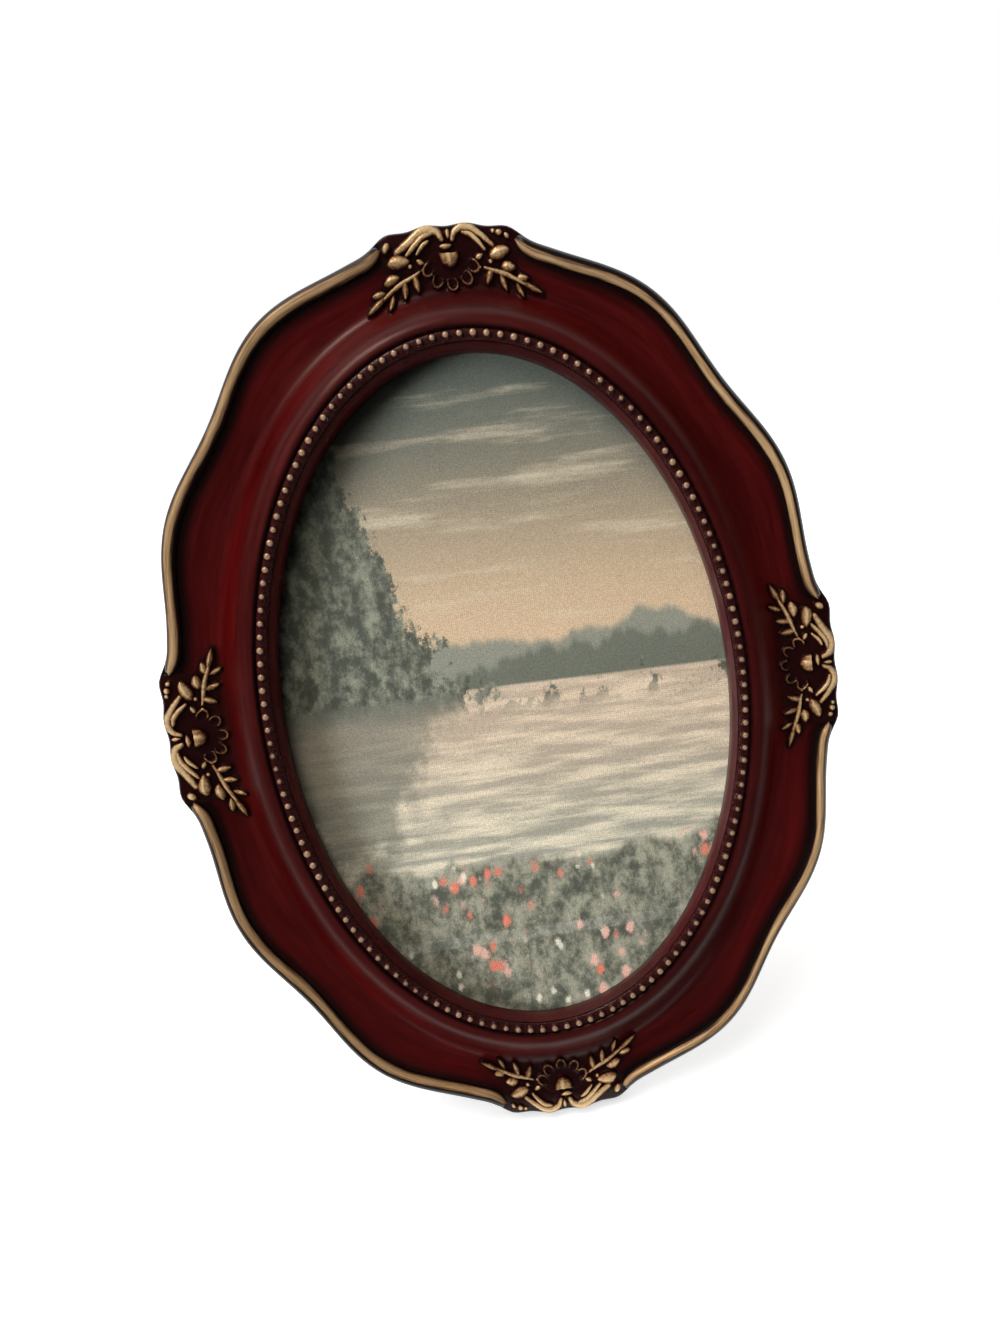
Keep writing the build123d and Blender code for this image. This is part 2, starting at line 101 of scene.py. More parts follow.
# Beads: section of their band as (offset, rise over the channel), and where they sit
BAND_SECTION = (
    (0.0015, 0.0), (0.0015, 0.0003), (0.0018, 0.0005), (0.0039, 0.0005), (0.0042, 0.0003), (0.0042, 0.0),
)
BAND_SIDES = 288
BEAD_OFFSET = 0.00285
BEAD_RISE = 0.0008
BEAD_CUT = 0.45
BEAD_SPREAD = 0.05
GOLDEN_TURN = 2.399

# Carving of one ornament, in millimetres: along the edge from the crest, in from the edge.
CARVING_GRID = (300, 112)
CARVING_LENGTH = 47.0
CARVING_DEPTH = 15.8
CARVING_MIDDLE = 8.0
GROUND_SINK = 0.35
GROUND_RISE = 0.56
# along, in, length, width, turn towards the opening, height
LEAVES = (
    (-11.9, 6.5, 5.6, 3.3, 4, 1.6),
    (-14.2, 9.2, 4.4, 2.5, 8, 1.5),
    (-17.9, 10.3, 4.0, 2.1, 16, 1.4),
    (-18.9, 12.5, 5.4, 2.3, 158, 1.5),
    (-8.5, 11.3, 3.9, 2.0, 82, 1.3),
    (-11.4, 12.2, 3.8, 1.9, 98, 1.3),
    (-15.0, 13.6, 3.7, 1.8, 114, 1.3),
    (11.8, 6.2, 5.4, 3.2, -20, 1.6),
    (13.6, 8.7, 3.8, 2.4, -18, 1.5),
    (16.9, 9.7, 3.6, 2.1, -28, 1.4),
    (19.2, 11.3, 5.2, 2.2, 12, 1.5),
    (8.8, 11.1, 3.9, 2.0, 112, 1.3),
    (12.1, 12.1, 3.8, 1.9, 70, 1.3),
    (15.9, 12.9, 3.6, 1.8, 64, 1.3),
    (-0.5, 4.9, 3.2, 1.5, -6, 1.2),
    (0.3, 2.2, 2.4, 1.3, 90, 1.1),
    (-6.9, 7.4, 2.2, 1.3, 35, 1.1),
    (7.0, 7.2, 2.2, 1.3, -35, 1.1),
)
# points of each rib, width at the middle, height
RIBS = (
    (((-1.3, 3.3), (-1.9, 1.9), (-3.9, 1.2), (-6.5, 1.6), (-9.5, 3.0), (-12.0, 4.6)), 2.7, 1.1),
    (((-3.6, 2.4), (-5.6, 2.8), (-8.0, 4.0), (-9.8, 5.4)), 1.7, 1.3),
    (((-4.4, 3.9), (-5.8, 4.5), (-7.4, 5.7)), 1.4, 1.2),
    (((1.2, 3.5), (1.8, 2.0), (3.6, 1.2), (6.0, 1.5), (8.6, 2.9), (10.4, 4.6)), 2.2, 1.1),
    (((3.8, 2.6), (5.6, 3.0), (7.2, 4.2), (8.4, 5.6)), 1.7, 1.3),
    (((-7.4, 9.2), (-11.5, 10.5), (-16.0, 11.5), (-19.0, 12.6)), 1.4, 1.2),
    (((8.0, 9.3), (11.5, 10.1), (15.5, 10.7), (19.2, 11.3)), 1.4, 1.2),
)
RIB_POINTS = 60
RIB_SMOOTHING = 14
PETALS = ((-5.1, 9.2), (-3.3, 11.5), (0.0, 12.4), (3.4, 11.4), (5.2, 9.1))
PETALS_FROM = (0.0, 7.4)
PETAL_HEIGHT = 0.75
PETAL_GILT = 0.78
# along, in, radius
PEARLS = (
    (-14.3, 3.0, 1.2), (12.2, 2.0, 0.9), (13.9, 2.5, 0.75), (10.9, 1.5, 0.6),
    (-9.4, 7.6, 0.6), (9.5, 7.9, 0.6), (-6.6, 9.0, 0.5), (6.8, 9.2, 0.5),
)
PEARL_RISE = 1.25
BUD_HEIGHT = 1.8

GLASS_HALF = (0.0635, 0.0889)
GLASS_LOW = 0.00535
GLASS_THICKNESS = 0.0019
GLASS_ARRIS = 0.0002
# Width, length and depth of a screw's slot, and how far from its axis the head reaches
SLOT = (0.00055, 0.008, 0.0009)
SCREW_REACH = 0.004
CREASE = 35

# Lacquer across the moulding: millimetres out from the opening, colour. The browner stops on the lip and the
# shoulder are painted sheen; the dark stops in the bead channel and at the foot of the gilt edge are painted
# shade.
LACQUER_SPAN = 30.0
LACQUER_STOPS = (
    (0.0, "shoulder_painted_sheen"), (0.8, "shoulder_painted_sheen"), (1.5, "lacquer_wash_and_shade"), (4.6, "lacquer_wash_and_shade"),
    (5.4, "shoulder_painted_sheen"), (8.5, "shoulder_painted_sheen"), (11.5, "lacquer"), (20.8, "lacquer"),
    (23.2, "lacquer_wash_and_shade"), (24.3, "edge_black_and_shade"),
)

# Print of a lake at dusk
PRINT_HALF = (60.0, 88.0)
SKY = ((0.62, 0.44, 0.29), (0.125, 0.13, 0.105))
CLOUD = (0.60, 0.50, 0.37)
FAR_HILLS = (0.25, 0.245, 0.20)
NEAR_HILLS = (0.135, 0.14, 0.11)
WATER = ((0.34, 0.32, 0.26), (0.74, 0.65, 0.50))
WATER_GLOW = (0.66, 0.43, 0.30)
FOLIAGE = ((0.055, 0.06, 0.045), (0.27, 0.27, 0.205))
WATER_SHADE = (0.15, 0.15, 0.12)
MEADOW = ((0.075, 0.08, 0.06), (0.36, 0.34, 0.26))
# scale, size, colour and shift of each kind of blossom
BLOSSOMS = (
    (13.0, 0.33, (0.72, 0.20, 0.13), 0.0),
    (11.0, 0.30, (0.74, 0.42, 0.34), 5.0),
    (15.0, 0.28, (0.78, 0.70, 0.58), 9.0),
)

# Lamps: name, place, width, depth, power, colour, lights surfaces, shows in gloss
LAMPS = (
    ("spark", (-0.45, -0.35, 1.15), 0.3, 0.22, 3.5, (1.0, 0.8, 0.66), False, True),
    ("key", (-0.45, -0.35, 1.15), 1.3, 1.0, 16.0, (1.0, 0.95, 0.88), True, False),
    ("window", (-1.0, -0.55, 0.25), 0.35, 0.4, 9.0, (0.86, 0.92, 1.0), True, False),
    ("back", (0.4, 0.8, 0.7), 0.8, 0.8, 5.0, (1.0, 0.98, 0.95), True, False),
)
LAMPS_FACE = (0, 0, 0.11)
WORLD_LIGHT = 0.22


def length_setting(name, description, default):
    """Length that a user may change."""
    return FloatProperty(name=name, description=description, default=default, unit="LENGTH")


def count_setting(name, description, default):
    """Number of repeats that a user may change."""
    return IntProperty(name=name, description=description, default=default)


def colour_setting(name, description, default):
    """Colour that a user may change."""
    return FloatVectorProperty(name=name, description=description, default=default, size=3, subtype="COLOR")


class OvalFrameSizes(bpy.types.PropertyGroup):
    """Sizes of the frame's front that the pieces are modelled from."""

    sight_half_width: length_setting("Sight half width", "Half of the opening's width", 0.0566)
    sight_half_height: length_setting("Sight half height", "Half of the opening's height", 0.0842)
    moulding_width: length_setting("Moulding width", "From the opening to the mean outer edge", 0.028)
    wave: length_setting("Wave", "How far the outer edge waves in and out", 0.0014)
    shelf: length_setting("Shelf", "How far the flat crests at the ornaments stand out", 0.0011)
    scallop: length_setting("Scallop", "Depth of the dips between an ornament's scrolls", 0.00055)
    crests: count_setting("Crests", "Crests of the wave round the edge", 12)
    wave_start: length_setting("Wave start", "Distance from the opening where the wave begins", 0.013)
    ridge_height: length_setting("Ridge height", "Height of the ridge beside the beads", 0.0136)
    channel_height: length_setting("Channel height", "Height of the bead channel's floor", 0.0126)
    cove_height: length_setting("Cove height", "Height of the cove's floor", 0.0076)
    land_height: length_setting("Land height", "Height of the flat under the gilt edge", 0.0085)
    land_width: length_setting("Land width", "Width of the flat under the gilt edge", 0.0042)
    rim_width: length_setting("Rim width", "Width of the gilt edge", 0.0036)
    rim_height: length_setting("Rim height", "Rise of the gilt edge above the land", 0.0024)
    rim_gap: length_setting("Rim gap", "Length of edge that each ornament takes", 0.0325)
    beads: count_setting("Beads", "Beads round the opening", 144)
    bead_radius: length_setting("Bead radius", "Radius of one bead", 0.00112)
    relief: FloatProperty(
        name="Relief", description="Scale of the ornaments' height", default=1.0, subtype="FACTOR"
    )


class OvalFrameColours(bpy.types.PropertyGroup):
    """Colours of the frame's finishes."""

    lacquer: colour_setting("Lacquer", "Wine red of the cove", (0.054, 0.0009, 0.0011))
    # Browner red on the lip and the shoulder that paints their soft sheen: painted sheen.
    shoulder_painted_sheen: colour_setting("Shoulder", "Browner red beside the beads", (0.048, 0.0032, 0.003))
    # Dark red painted as shade in the bead channel and at the foot of the gilt edge; in the carving's ground
    # it is partly a dark wash and partly painted shade.
    lacquer_wash_and_shade: colour_setting("Dark lacquer", "Dark red in grooves", (0.012, 0.0009, 0.001))
    # Brown black of the outer side, also painted as shade at the foot of the gilt edge.
    edge_black_and_shade: colour_setting("Edge", "Brown black of the outer side", (0.006, 0.0035, 0.003))
    gilt: colour_setting("Gilt", "Gold paint", (0.75, 0.53, 0.28))
    # Brown of thin gold, also painted low on raised forms as painted shade.
    gilt_worn_and_shaded: colour_setting("Worn gilt", "Gold paint where it is thin", (0.24, 0.105, 0.04))
    bead_tip: colour_setting("Bead tip", "Pale gold rubbed on the beads", (0.64, 0.41, 0.25))
    bead_ground: colour_setting("Bead ground", "Dark red of the bead band", (0.03, 0.004, 0.004))
    board: colour_setting("Board", "Black paper of the back", (0.016, 0.015, 0.015))
    card: colour_setting("Card", "Brown card", (0.36, 0.25, 0.15))
    brass: colour_setting("Brass", "Brass of the back's fittings", (0.72, 0.50, 0.22))
    steel: colour_setting("Steel", "Steel of screws and rivets", (0.62, 0.60, 0.57))


def sizes():
    """Sizes set on the scene."""
    return bpy.context.scene.oval_frame_sizes


def colours():
    """Colours set on the scene."""
    return bpy.context.scene.oval_frame_colours


def standing():
    """Places the flat frame, front up, as it leans on the table."""
    up = Vector((0, math.sin(LEAN), math.cos(LEAN)))
    out = Vector((0, -math.cos(LEAN), math.sin(LEAN)))
    turn = Matrix((Vector((1, 0, 0)), up, out)).transposed()
    foot = JOINTS["leg_fold"] - turn @ Vector((0, HINGE_UP, -HINGE_BEHIND))
    return Matrix.Translation(foot) @ turn.to_4x4()


def eased(start, end, share):
    """Value that leaves start and reaches end with level tangents."""
    return start + (end - start) * (1 - math.cos(math.pi * min(max(share, 0), 1))) / 2


def wave_height(even):
    """How far the edge stands out of its oval: round crests, and a scalloped shelf at each ornament."""
    s = sizes()
    crest = math.cos(s.crests * even)
    number = round(s.crests * even / math.tau)
    if number % (s.crests // len(CRESTS)):
        return s.wave * crest
    share = s.crests * even / math.tau - number
    dip = 0.0
    if abs(share) < 1.5 * SCALLOP_PITCH:
        dip = (1 + math.cos(math.tau * share / SCALLOP_PITCH)) / 2
    return eased(-s.wave, s.shelf, (crest + 1) / SHELF_RISE) - s.scallop * dip


def oval_place(turn, offset, height):
    """Point of the flat frame at an offset out from the opening, waved towards the outer edge."""
    s = sizes()
    a = s.sight_half_width + offset
    b = s.sight_half_height + offset
    land = s.moulding_width - s.land_width
    even = turn + (b - a) / (2 * (a + b)) * math.sin(2 * turn)
    wave = eased(0, wave_height(even), (offset - s.wave_start) / (land - s.wave_start))
    normal = Vector((b * math.cos(turn), a * math.sin(turn), 0)).normalized()
    return Vector((a * math.cos(turn), b * math.sin(turn), height)) + normal * wave


def face_height(offset):
    """Height of the moulding's front between the ridge and the outer edge."""
    s = sizes()
    land = s.moulding_width - s.land_width
    if offset >= COVE_FLOOR:
        return eased(s.cove_height, s.land_height, (offset - COVE_FLOOR) / (land - COVE_FLOOR))
    return eased(s.ridge_height, s.cove_height, (offset - SHOULDER_FROM) / (COVE_FLOOR - SHOULDER_FROM))


def start_clean():
    """Object mode with nothing selected."""
    if bpy.context.object and bpy.context.object.mode != "OBJECT":
        bpy.ops.object.mode_set(mode="OBJECT")
    bpy.ops.object.select_all(action="DESELECT")


def activate(piece):
    """Selects the piece alone and makes it active."""
    start_clean()
    piece.select_set(True)
    bpy.context.view_layer.objects.active = piece


def edit_whole(piece):
    """Edit mode with all of the piece selected."""
    activate(piece)
    bpy.ops.object.mode_set(mode="EDIT")
    bpy.ops.mesh.select_all(action="SELECT")


def apply_modifiers(piece):
    """Applies every modifier of the piece."""
    activate(piece)
    for name in [modifier.name for modifier in piece.modifiers]:
        bpy.ops.object.modifier_apply(modifier=name)


def outward(piece):
    """Turns the piece's faces outwards."""
    edit_whole(piece)
    bpy.ops.mesh.normals_make_consistent(inside=False)
    bpy.ops.object.mode_set(mode="OBJECT")


def smooth(piece, degrees):
    """Shades the piece smooth, with creases sharper than the angle kept."""
    activate(piece)
    bpy.ops.object.shade_smooth_by_angle(angle=math.radians(degrees))


def stand_up(piece):
    """Moves a piece that was made flat to where it stands."""
    piece.data.transform(standing())
    piece.data.update()


def settle(piece, body, nodes, material):
    """Gives the piece its finish and lets it stand for its CAD nodes on their body."""
    piece.data.materials.clear()
    piece.data.materials.append(material)
    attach(piece, body)
    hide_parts(*nodes)


def write_attribute(mesh, name, values):
    """Stores one number for each vertex."""
    layer = mesh.attributes.new(name, "FLOAT", "POINT")
    layer.data.foreach_set("value", values)


def read_attribute(mesh, name):
    """Numbers stored for the vertices."""
    return np.array([item.value for item in mesh.attributes[name].data])


def write_sweep(mesh, turns, offsets):
    """Stores where each vertex lies round the oval and across the moulding, for streaks that follow it."""
    layer = mesh.attributes.new("sweep", "FLOAT_VECTOR", "POINT")
    rows = np.stack([np.cos(turns), np.sin(turns), np.asarray(offsets) * 1000], 1)
    layer.data.foreach_set("vector", rows.ravel())


def swept_loop(name, vertices, stations, place, closed):
    """Circle extruded once for each further station, each vertex put where place(turn, station) says."""
    start_clean()
    bpy.ops.mesh.primitive_circle_add(vertices=vertices, radius=1.0)
    piece = bpy.context.object
    piece.name = name
    piece.data.name = name
    turns = [math.atan2(v.co.y, v.co.x) for v in piece.data.vertices]
    write_attribute(piece.data, "turn", turns)
    write_attribute(piece.data, "station", [0.0] * vertices)
    bpy.ops.object.mode_set(mode="EDIT")
    bpy.ops.mesh.select_mode(type="EDGE")
    bpy.ops.mesh.select_all(action="SELECT")
    for station in range(1, stations):
        bpy.ops.mesh.extrude_edges_move()
        mesh = bmesh.from_edit_mesh(piece.data)
        layer = mesh.verts.layers.float["station"]
        for vertex in mesh.verts:
            if vertex.select:
                vertex[layer] = station
    mesh = bmesh.from_edit_mesh(piece.data)
    turn = mesh.verts.layers.float["turn"]
    layer = mesh.verts.layers.float["station"]
    for vertex in mesh.verts:
        vertex.co = place(vertex[turn], round(vertex[layer]))
    ends = (0, stations - 1)
    for edge in mesh.edges:
        a, b = (round(v[layer]) for v in edge.verts)
        edge.select_set(a == b and a in ends)
    bmesh.update_edit_mesh(piece.data)
    if closed:
        bpy.ops.mesh.bridge_edge_loops()
    else:
        bpy.ops.mesh.edge_face_add()
    bpy.ops.mesh.select_all(action="SELECT")
    bpy.ops.mesh.normals_make_consistent(inside=False)
    bpy.ops.object.mode_set(mode="OBJECT")
    return piece


def finished_copy(node, bevel, segments):
    """Copy of a CAD node with merged faces, softened edges and level shading on its flats."""
    piece = bpy.data.objects.new(f"{node}_finish", frame["nodes"][node].data.copy())
    bpy.context.scene.collection.objects.link(piece)
    edit_whole(piece)
    bpy.ops.mesh.remove_doubles(threshold=0.000002)
    bpy.ops.mesh.dissolve_limited(angle_limit=math.radians(1))
    bpy.ops.object.mode_set(mode="OBJECT")
    rounding = piece.modifiers.new("Edges", "BEVEL")
    rounding.width = bevel
    rounding.segments = segments
    rounding.limit_method = "ANGLE"
    rounding.angle_limit = math.radians(CREASE)
    rounding.harden_normals = False
    apply_modifiers(piece)
    smooth(piece, CREASE)
    level = piece.modifiers.new("Level shading", "WEIGHTED_NORMAL")
    level.weight = 100
    level.keep_sharp = True
    apply_modifiers(piece)
    return piece


def finish_node(node, body, material, bevel, segments):
    """Puts a finished copy in a CAD node's place."""
    settle(finished_copy(node, bevel, segments), body, [node], material)


def feed(tree, node, inputs):
    """Links a node's inputs to sockets, or sets them to values."""
    for key, value in inputs.items():
        if isinstance(value, bpy.types.NodeSocket):
            tree.links.new(value, node.inputs[key])
        else:
            node.inputs[key].default_value = value


def add_node(tree, kind, inputs=None, **settings):
    """New node with its settings and inputs."""
    node = tree.nodes.new(kind)
    for key, value in settings.items():
        setattr(node, key, value)
    feed(tree, node, inputs or {})
    return node


def maths(tree, operation, first, second=0.0, third=0.0):
    """Result of a Math node."""
    node = add_node(tree, "ShaderNodeMath", {0: first, 1: second, 2: third}, operation=operation)
    return node.outputs[0]


def times(tree, first, second):
    """Product of two values."""
    return maths(tree, "MULTIPLY", first, second)


def minus(tree, first, second):
    """Difference of two values."""
    return maths(tree, "SUBTRACT", first, second)


def scaled(tree, value, factor, start):
    """Value times a factor, added to a start."""
    return maths(tree, "MULTIPLY_ADD", value, factor, start)


def remap(tree, value, low, high, to_low=0.0, to_high=1.0):
    """Value eased from one range to another and held at its ends."""
    inputs = {"Value": value, "From Min": low, "From Max": high, "To Min": to_low, "To Max": to_high}
    return add_node(tree, "ShaderNodeMapRange", inputs, interpolation_type="SMOOTHSTEP").outputs[0]


def vector(tree, x, y=0.0, z=0.0):
    """Vector from its parts."""
    return add_node(tree, "ShaderNodeCombineXYZ", {0: x, 1: y, 2: z}).outputs[0]


def shifted(tree, place, amount):
    """Vector moved along, so that a pattern doesn't repeat."""
    inputs = {0: place, 1: (amount, amount * 0.7, amount * 0.3)}
    return add_node(tree, "ShaderNodeVectorMath", inputs, operation="ADD").outputs[0]


def attribute(tree, name):
    """Number stored on the mesh."""
    return add_node(tree, "ShaderNodeAttribute", attribute_name=name).outputs["Fac"]


def object_place(tree):
    """Object coordinates."""
    return add_node(tree, "ShaderNodeTexCoord").outputs["Object"]


def mixed(tree, share, first, second, blend="MIX"):
    """Colour between two colours."""
    node = add_node(tree, "ShaderNodeMix", data_type="RGBA", blend_type=blend)
    for socket, value in zip((node.inputs[0], node.inputs[6], node.inputs[7]), (share, first, second)):
        if isinstance(value, bpy.types.NodeSocket):
            tree.links.new(value, socket)
        elif isinstance(value, (int, float)):
            socket.default_value = value
        else:
            socket.default_value = (*value, 1.0)
    return node.outputs[2]


def shaded(tree, colour, level):
    """Colour made lighter or darker by a level."""
    return mixed(tree, 1.0, colour, vector(tree, level, level, level), "MULTIPLY")


def noise(tree, place, scale, detail=3.0, roughness=0.55):
    """Noise value."""
    inputs = {"Vector": place, "Scale": scale, "Detail": detail, "Roughness": roughness}
    return add_node(tree, "ShaderNodeTexNoise", inputs).outputs["Fac"]


def seen(tree):
    """One for what the camera, gloss and glass show, and zero for what only lights."""
    path = add_node(tree, "ShaderNodeLightPath").outputs
    mirrored = maths(tree, "MAXIMUM", path["Is Glossy Ray"], path["Is Transmission Ray"])
    return maths(tree, "MAXIMUM", path["Is Camera Ray"], mirrored)


def new_group(name, inputs, outputs):
    """Empty shader node group with its sockets."""
    tree = bpy.data.node_groups.new(name, "ShaderNodeTree")
    for label, kind, value in inputs:
        socket = tree.interface.new_socket(name=label, in_out="INPUT", socket_type=kind)
        socket.default_value = value
    for label, kind in outputs:
        tree.interface.new_socket(name=label, in_out="OUTPUT", socket_type=kind)
    return tree, tree.nodes.new("NodeGroupInput").outputs, tree.nodes.new("NodeGroupOutput")


def build_streaks(name):
    """Brush streaks that follow the oval: long round the frame and narrow across it."""
    number = "NodeSocketFloat"
    sockets = [("Round", number, 4.0), ("Across", number, 1.0), ("Seed", number, 0.0)]
    tree, given, out = new_group(name, sockets, [("Streak", number), ("Offset", number)])
    sweep = add_node(tree, "ShaderNodeAttribute", attribute_name="sweep").outputs["Vector"]
    parts = add_node(tree, "ShaderNodeSeparateXYZ", {0: sweep}).outputs
    x = scaled(tree, parts[0], given["Round"], given["Seed"])
    y = times(tree, parts[1], given["Round"])
    z = times(tree, parts[2], given["Across"])
    feed(tree, out, {"Streak": noise(tree, vector(tree, x, y, z), 1.0, 4.0, 0.62), "Offset": parts[2]})
    return tree


def build_grain(name):
    """Fine grain and a broader mottling on Object coordinates."""
    number = "NodeSocketFloat"
    tree, given, out = new_group(name, [("Scale", number, 2000.0)], [("Grain", number), ("Mottle", number)])
    place = object_place(tree)
    grain = noise(tree, place, given["Scale"], 2.0, 0.6)
    mottle = noise(tree, place, times(tree, given["Scale"], 0.06), 4.0, 0.6)
    feed(tree, out, {"Grain": grain, "Mottle": mottle})
    return tree


def build_flat(name):
    """Place on the flat frame, in millimetres: X to the right, Y up the frame, Z out of the front."""
    tree, _, out = new_group(name, [], [("Flat", "NodeSocketVector")])
    matrix = standing()
    inputs = {
        "Vector": object_place(tree),
        "Location": matrix.translation,
        "Rotation": matrix.to_euler(),
        "Scale": (MM, MM, MM),
    }
    feed(tree, out, {"Flat": add_node(tree, "ShaderNodeMapping", inputs, vector_type="TEXTURE").outputs[0]})
    return tree


def build_gilding(name):
    """Gold paint rubbed over a dark ground: gold on what stands up, thin and worn at its borders. Its brown
    on the lower parts of each form and its pale crest are partly wear and partly painted shade and painted
    highlight.
    """
    c = colours()
    number = "NodeSocketFloat"
    sockets = [
        ("Height", number, 0.0), ("From", number, 0.3), ("Full", number, 0.7), ("Wear", number, 0.5),
        ("Ground", "NodeSocketColor", (0.01, 0.002, 0.002, 1)),
    ]
    results = [("Colour", "NodeSocketColor"), ("Gold", number), ("Roughness", number)]
    tree, given, out = new_group(name, sockets, results)
    uneven = scaled(tree, minus(tree, given["Wear"], 0.5), 0.7, given["Height"])
    gold = remap(tree, uneven, given["From"], given["Full"])
    # Brown low on each form and pale on its crest: partly wear, partly painted shade and painted highlight.
    body = remap(tree, uneven, minus(tree, given["Full"], 0.15), maths(tree, "ADD", given["Full"], 0.22))
    paint = mixed(tree, body, c.gilt_worn_and_shaded, c.gilt)
    feed(tree, out, {
        "Colour": mixed(tree, gold, given["Ground"], paint),
        "Gold": gold,
        "Roughness": scaled(tree, given["Wear"], -0.18, 0.46),
    })
    return tree


GROUPS = {
    "Brush Streaks": build_streaks,
    "Fine Grain": build_grain,
    "Flat Frame": build_flat,
    "Rubbed Gilding": build_gilding,
}


def use_group(tree, name, inputs=None):
    """Places a node group in a material, and builds it when it is first used."""
    group = bpy.data.node_groups.get(name) or GROUPS[name](name)
    return add_node(tree, "ShaderNodeGroup", inputs, node_tree=group)


def new_material(name):
    """Material with only its shader and output, and the shader."""
    material = bpy.data.materials.new(name)
    material.use_nodes = True
    return material, material.node_tree, material.node_tree.nodes["Principled BSDF"]


def bumped(tree, height, distance):
    """Normal with small bumps."""
    inputs = {"Height": height, "Distance": distance, "Strength": 1.0}
    return add_node(tree, "ShaderNodeBump", inputs).outputs[0]


def lacquer_material():
    """Wine-red lacquer, darker in the channel and towards the edge, with faint streaks along the moulding.
    Its browner shoulder is painted sheen, its dark bands in the channel and at the foot of the gilt edge are
    painted shade, and it is darker in the cove round the ornaments.
    """
    c = colours()
    material, tree, shader = new_material("wine_lacquer")
    streaks = use_group(tree, "Brush Streaks", {"Round": 5.0, "Across": 0.9}).outputs
    broad = use_group(tree, "Brush Streaks", {"Round": 1.6, "Across": 0.12, "Seed": 7.0}).outputs["Streak"]
    across = {"Value": streaks["Offset"], "From Min": 0.0, "From Max": LACQUER_SPAN}
    share = add_node(tree, "ShaderNodeMapRange", across).outputs[0]
    ramp = add_node(tree, "ShaderNodeValToRGB", {"Fac": share})
    points = ramp.color_ramp.elements
    while len(points) < len(LACQUER_STOPS):
        points.new(0.5)
    for point, (place, name) in zip(points, LACQUER_STOPS):
        point.position = place / LACQUER_SPAN
        point.color = (*getattr(c, name), 1.0)
    tone = remap(tree, streaks["Streak"], 0.3, 0.75, 0.76, 1.14)
    tone = times(tree, tone, remap(tree, broad, 0.3, 0.7, 0.72, 1.18))
    # Darker in the cove round the ornaments.
    tone = times(tree, tone, remap(tree, attribute(tree, "ornament_darkening"), 0.0, 1.0, 1.0, 0.4))
    feed(tree, shader, {
        "Base Color": shaded(tree, ramp.outputs["Color"], tone),
        "Roughness": remap(tree, streaks["Streak"], 0.25, 0.8, 0.27, 0.38),
        "Specular IOR Level": 0.26,
        "Normal": bumped(tree, streaks["Streak"], 0.00003),
    })
    return material


def rim_material():
    """Gold brushed along the crest of a dark edge, with brown streaks showing through. The gold's brown sides
    and pale crest are partly painted shade and painted highlight.
    """
    c = colours()
    material, tree, shader = new_material("brushed_gilt_edge")
    streak = use_group(tree, "Brush Streaks", {"Round": 9.0, "Across": 2.6, "Seed": 3.0}).outputs["Streak"]
    broad = use_group(tree, "Brush Streaks", {"Round": 3.0, "Across": 0.4, "Seed": 11.0}).outputs["Streak"]
    gilding = use_group(tree, "Rubbed Gilding", {
        "Height": attribute(tree, "crown"),
        "From": 0.77,
        "Full": 0.95,
        "Wear": scaled(tree, broad, 0.4, times(tree, streak, 0.6)),
        "Ground": (*c.edge_black_and_shade, 1),
    }).outputs
    feed(tree, shader, {
        "Base Color": gilding["Colour"],
        "Metallic": times(tree, gilding["Gold"], 0.35),
        "Roughness": gilding["Roughness"],
        "Normal": bumped(tree, streak, 0.00012),
    })
    return material


def carving_material():
    """Gold rubbed on the carving's raised parts, with dark lacquer in its hollows. The dark round and between
    the forms is partly a dark wash and partly painted shade, and the gold's brown sides and pale crests are
    partly painted shade and painted highlight.
    """
    c = colours()
    material, tree, shader = new_material("rubbed_gilt_carving")
    grain = use_group(tree, "Fine Grain", {"Scale": 1500.0}).outputs
    gilding = use_group(tree, "Rubbed Gilding", {
        "Height": attribute(tree, "relief"),
        "From": 0.47,
        "Full": 0.8,
        "Wear": scaled(tree, grain["Mottle"], 0.35, times(tree, grain["Grain"], 0.65)),
        # Dark ground round the forms: partly a dark wash, partly painted shade.
        "Ground": (*c.lacquer_wash_and_shade, 1),
    }).outputs
    feed(tree, shader, {
        "Base Color": gilding["Colour"],
        "Metallic": times(tree, gilding["Gold"], 0.4),
        "Roughness": minus(tree, gilding["Roughness"], 0.06),
        "Specular IOR Level": 0.3,
        "Normal": bumped(tree, grain["Grain"], 0.00005),
    })
    return material


def bead_material():
    """Dark beads with pale gold rubbed on their tips."""
    c = colours()
    material, tree, shader = new_material("rubbed_beads")
    grain = use_group(tree, "Fine Grain", {"Scale": 900.0}).outputs
    uneven = scaled(tree, minus(tree, grain["Mottle"], 0.5), 0.6, attribute(tree, "relief"))
    tip = remap(tree, uneven, 0.72, 1.0, 0.0, 0.85)
    feed(tree, shader, {
        "Base Color": mixed(tree, tip, c.bead_ground, c.bead_tip),
        "Metallic": times(tree, tip, 0.6),
        "Roughness": remap(tree, grain["Grain"], 0.2, 0.8, 0.22, 0.36),
    })
    return material


def metal_material(name, colour, polish):
    """Rolled metal with fine scratches and dull patches."""
    material, tree, shader = new_material(name)
    grain = use_group(tree, "Fine Grain", {"Scale": 2600.0}).outputs
    feed(tree, shader, {
        "Base Color": shaded(tree, colour, remap(tree, grain["Mottle"], 0.3, 0.7, 0.7, 1.05)),
        "Roughness": remap(tree, grain["Mottle"], 0.3, 0.7, polish + 0.16, polish),
        "Metallic": 1.0,
        "Normal": bumped(tree, grain["Grain"], 0.00002),
    })
    return material


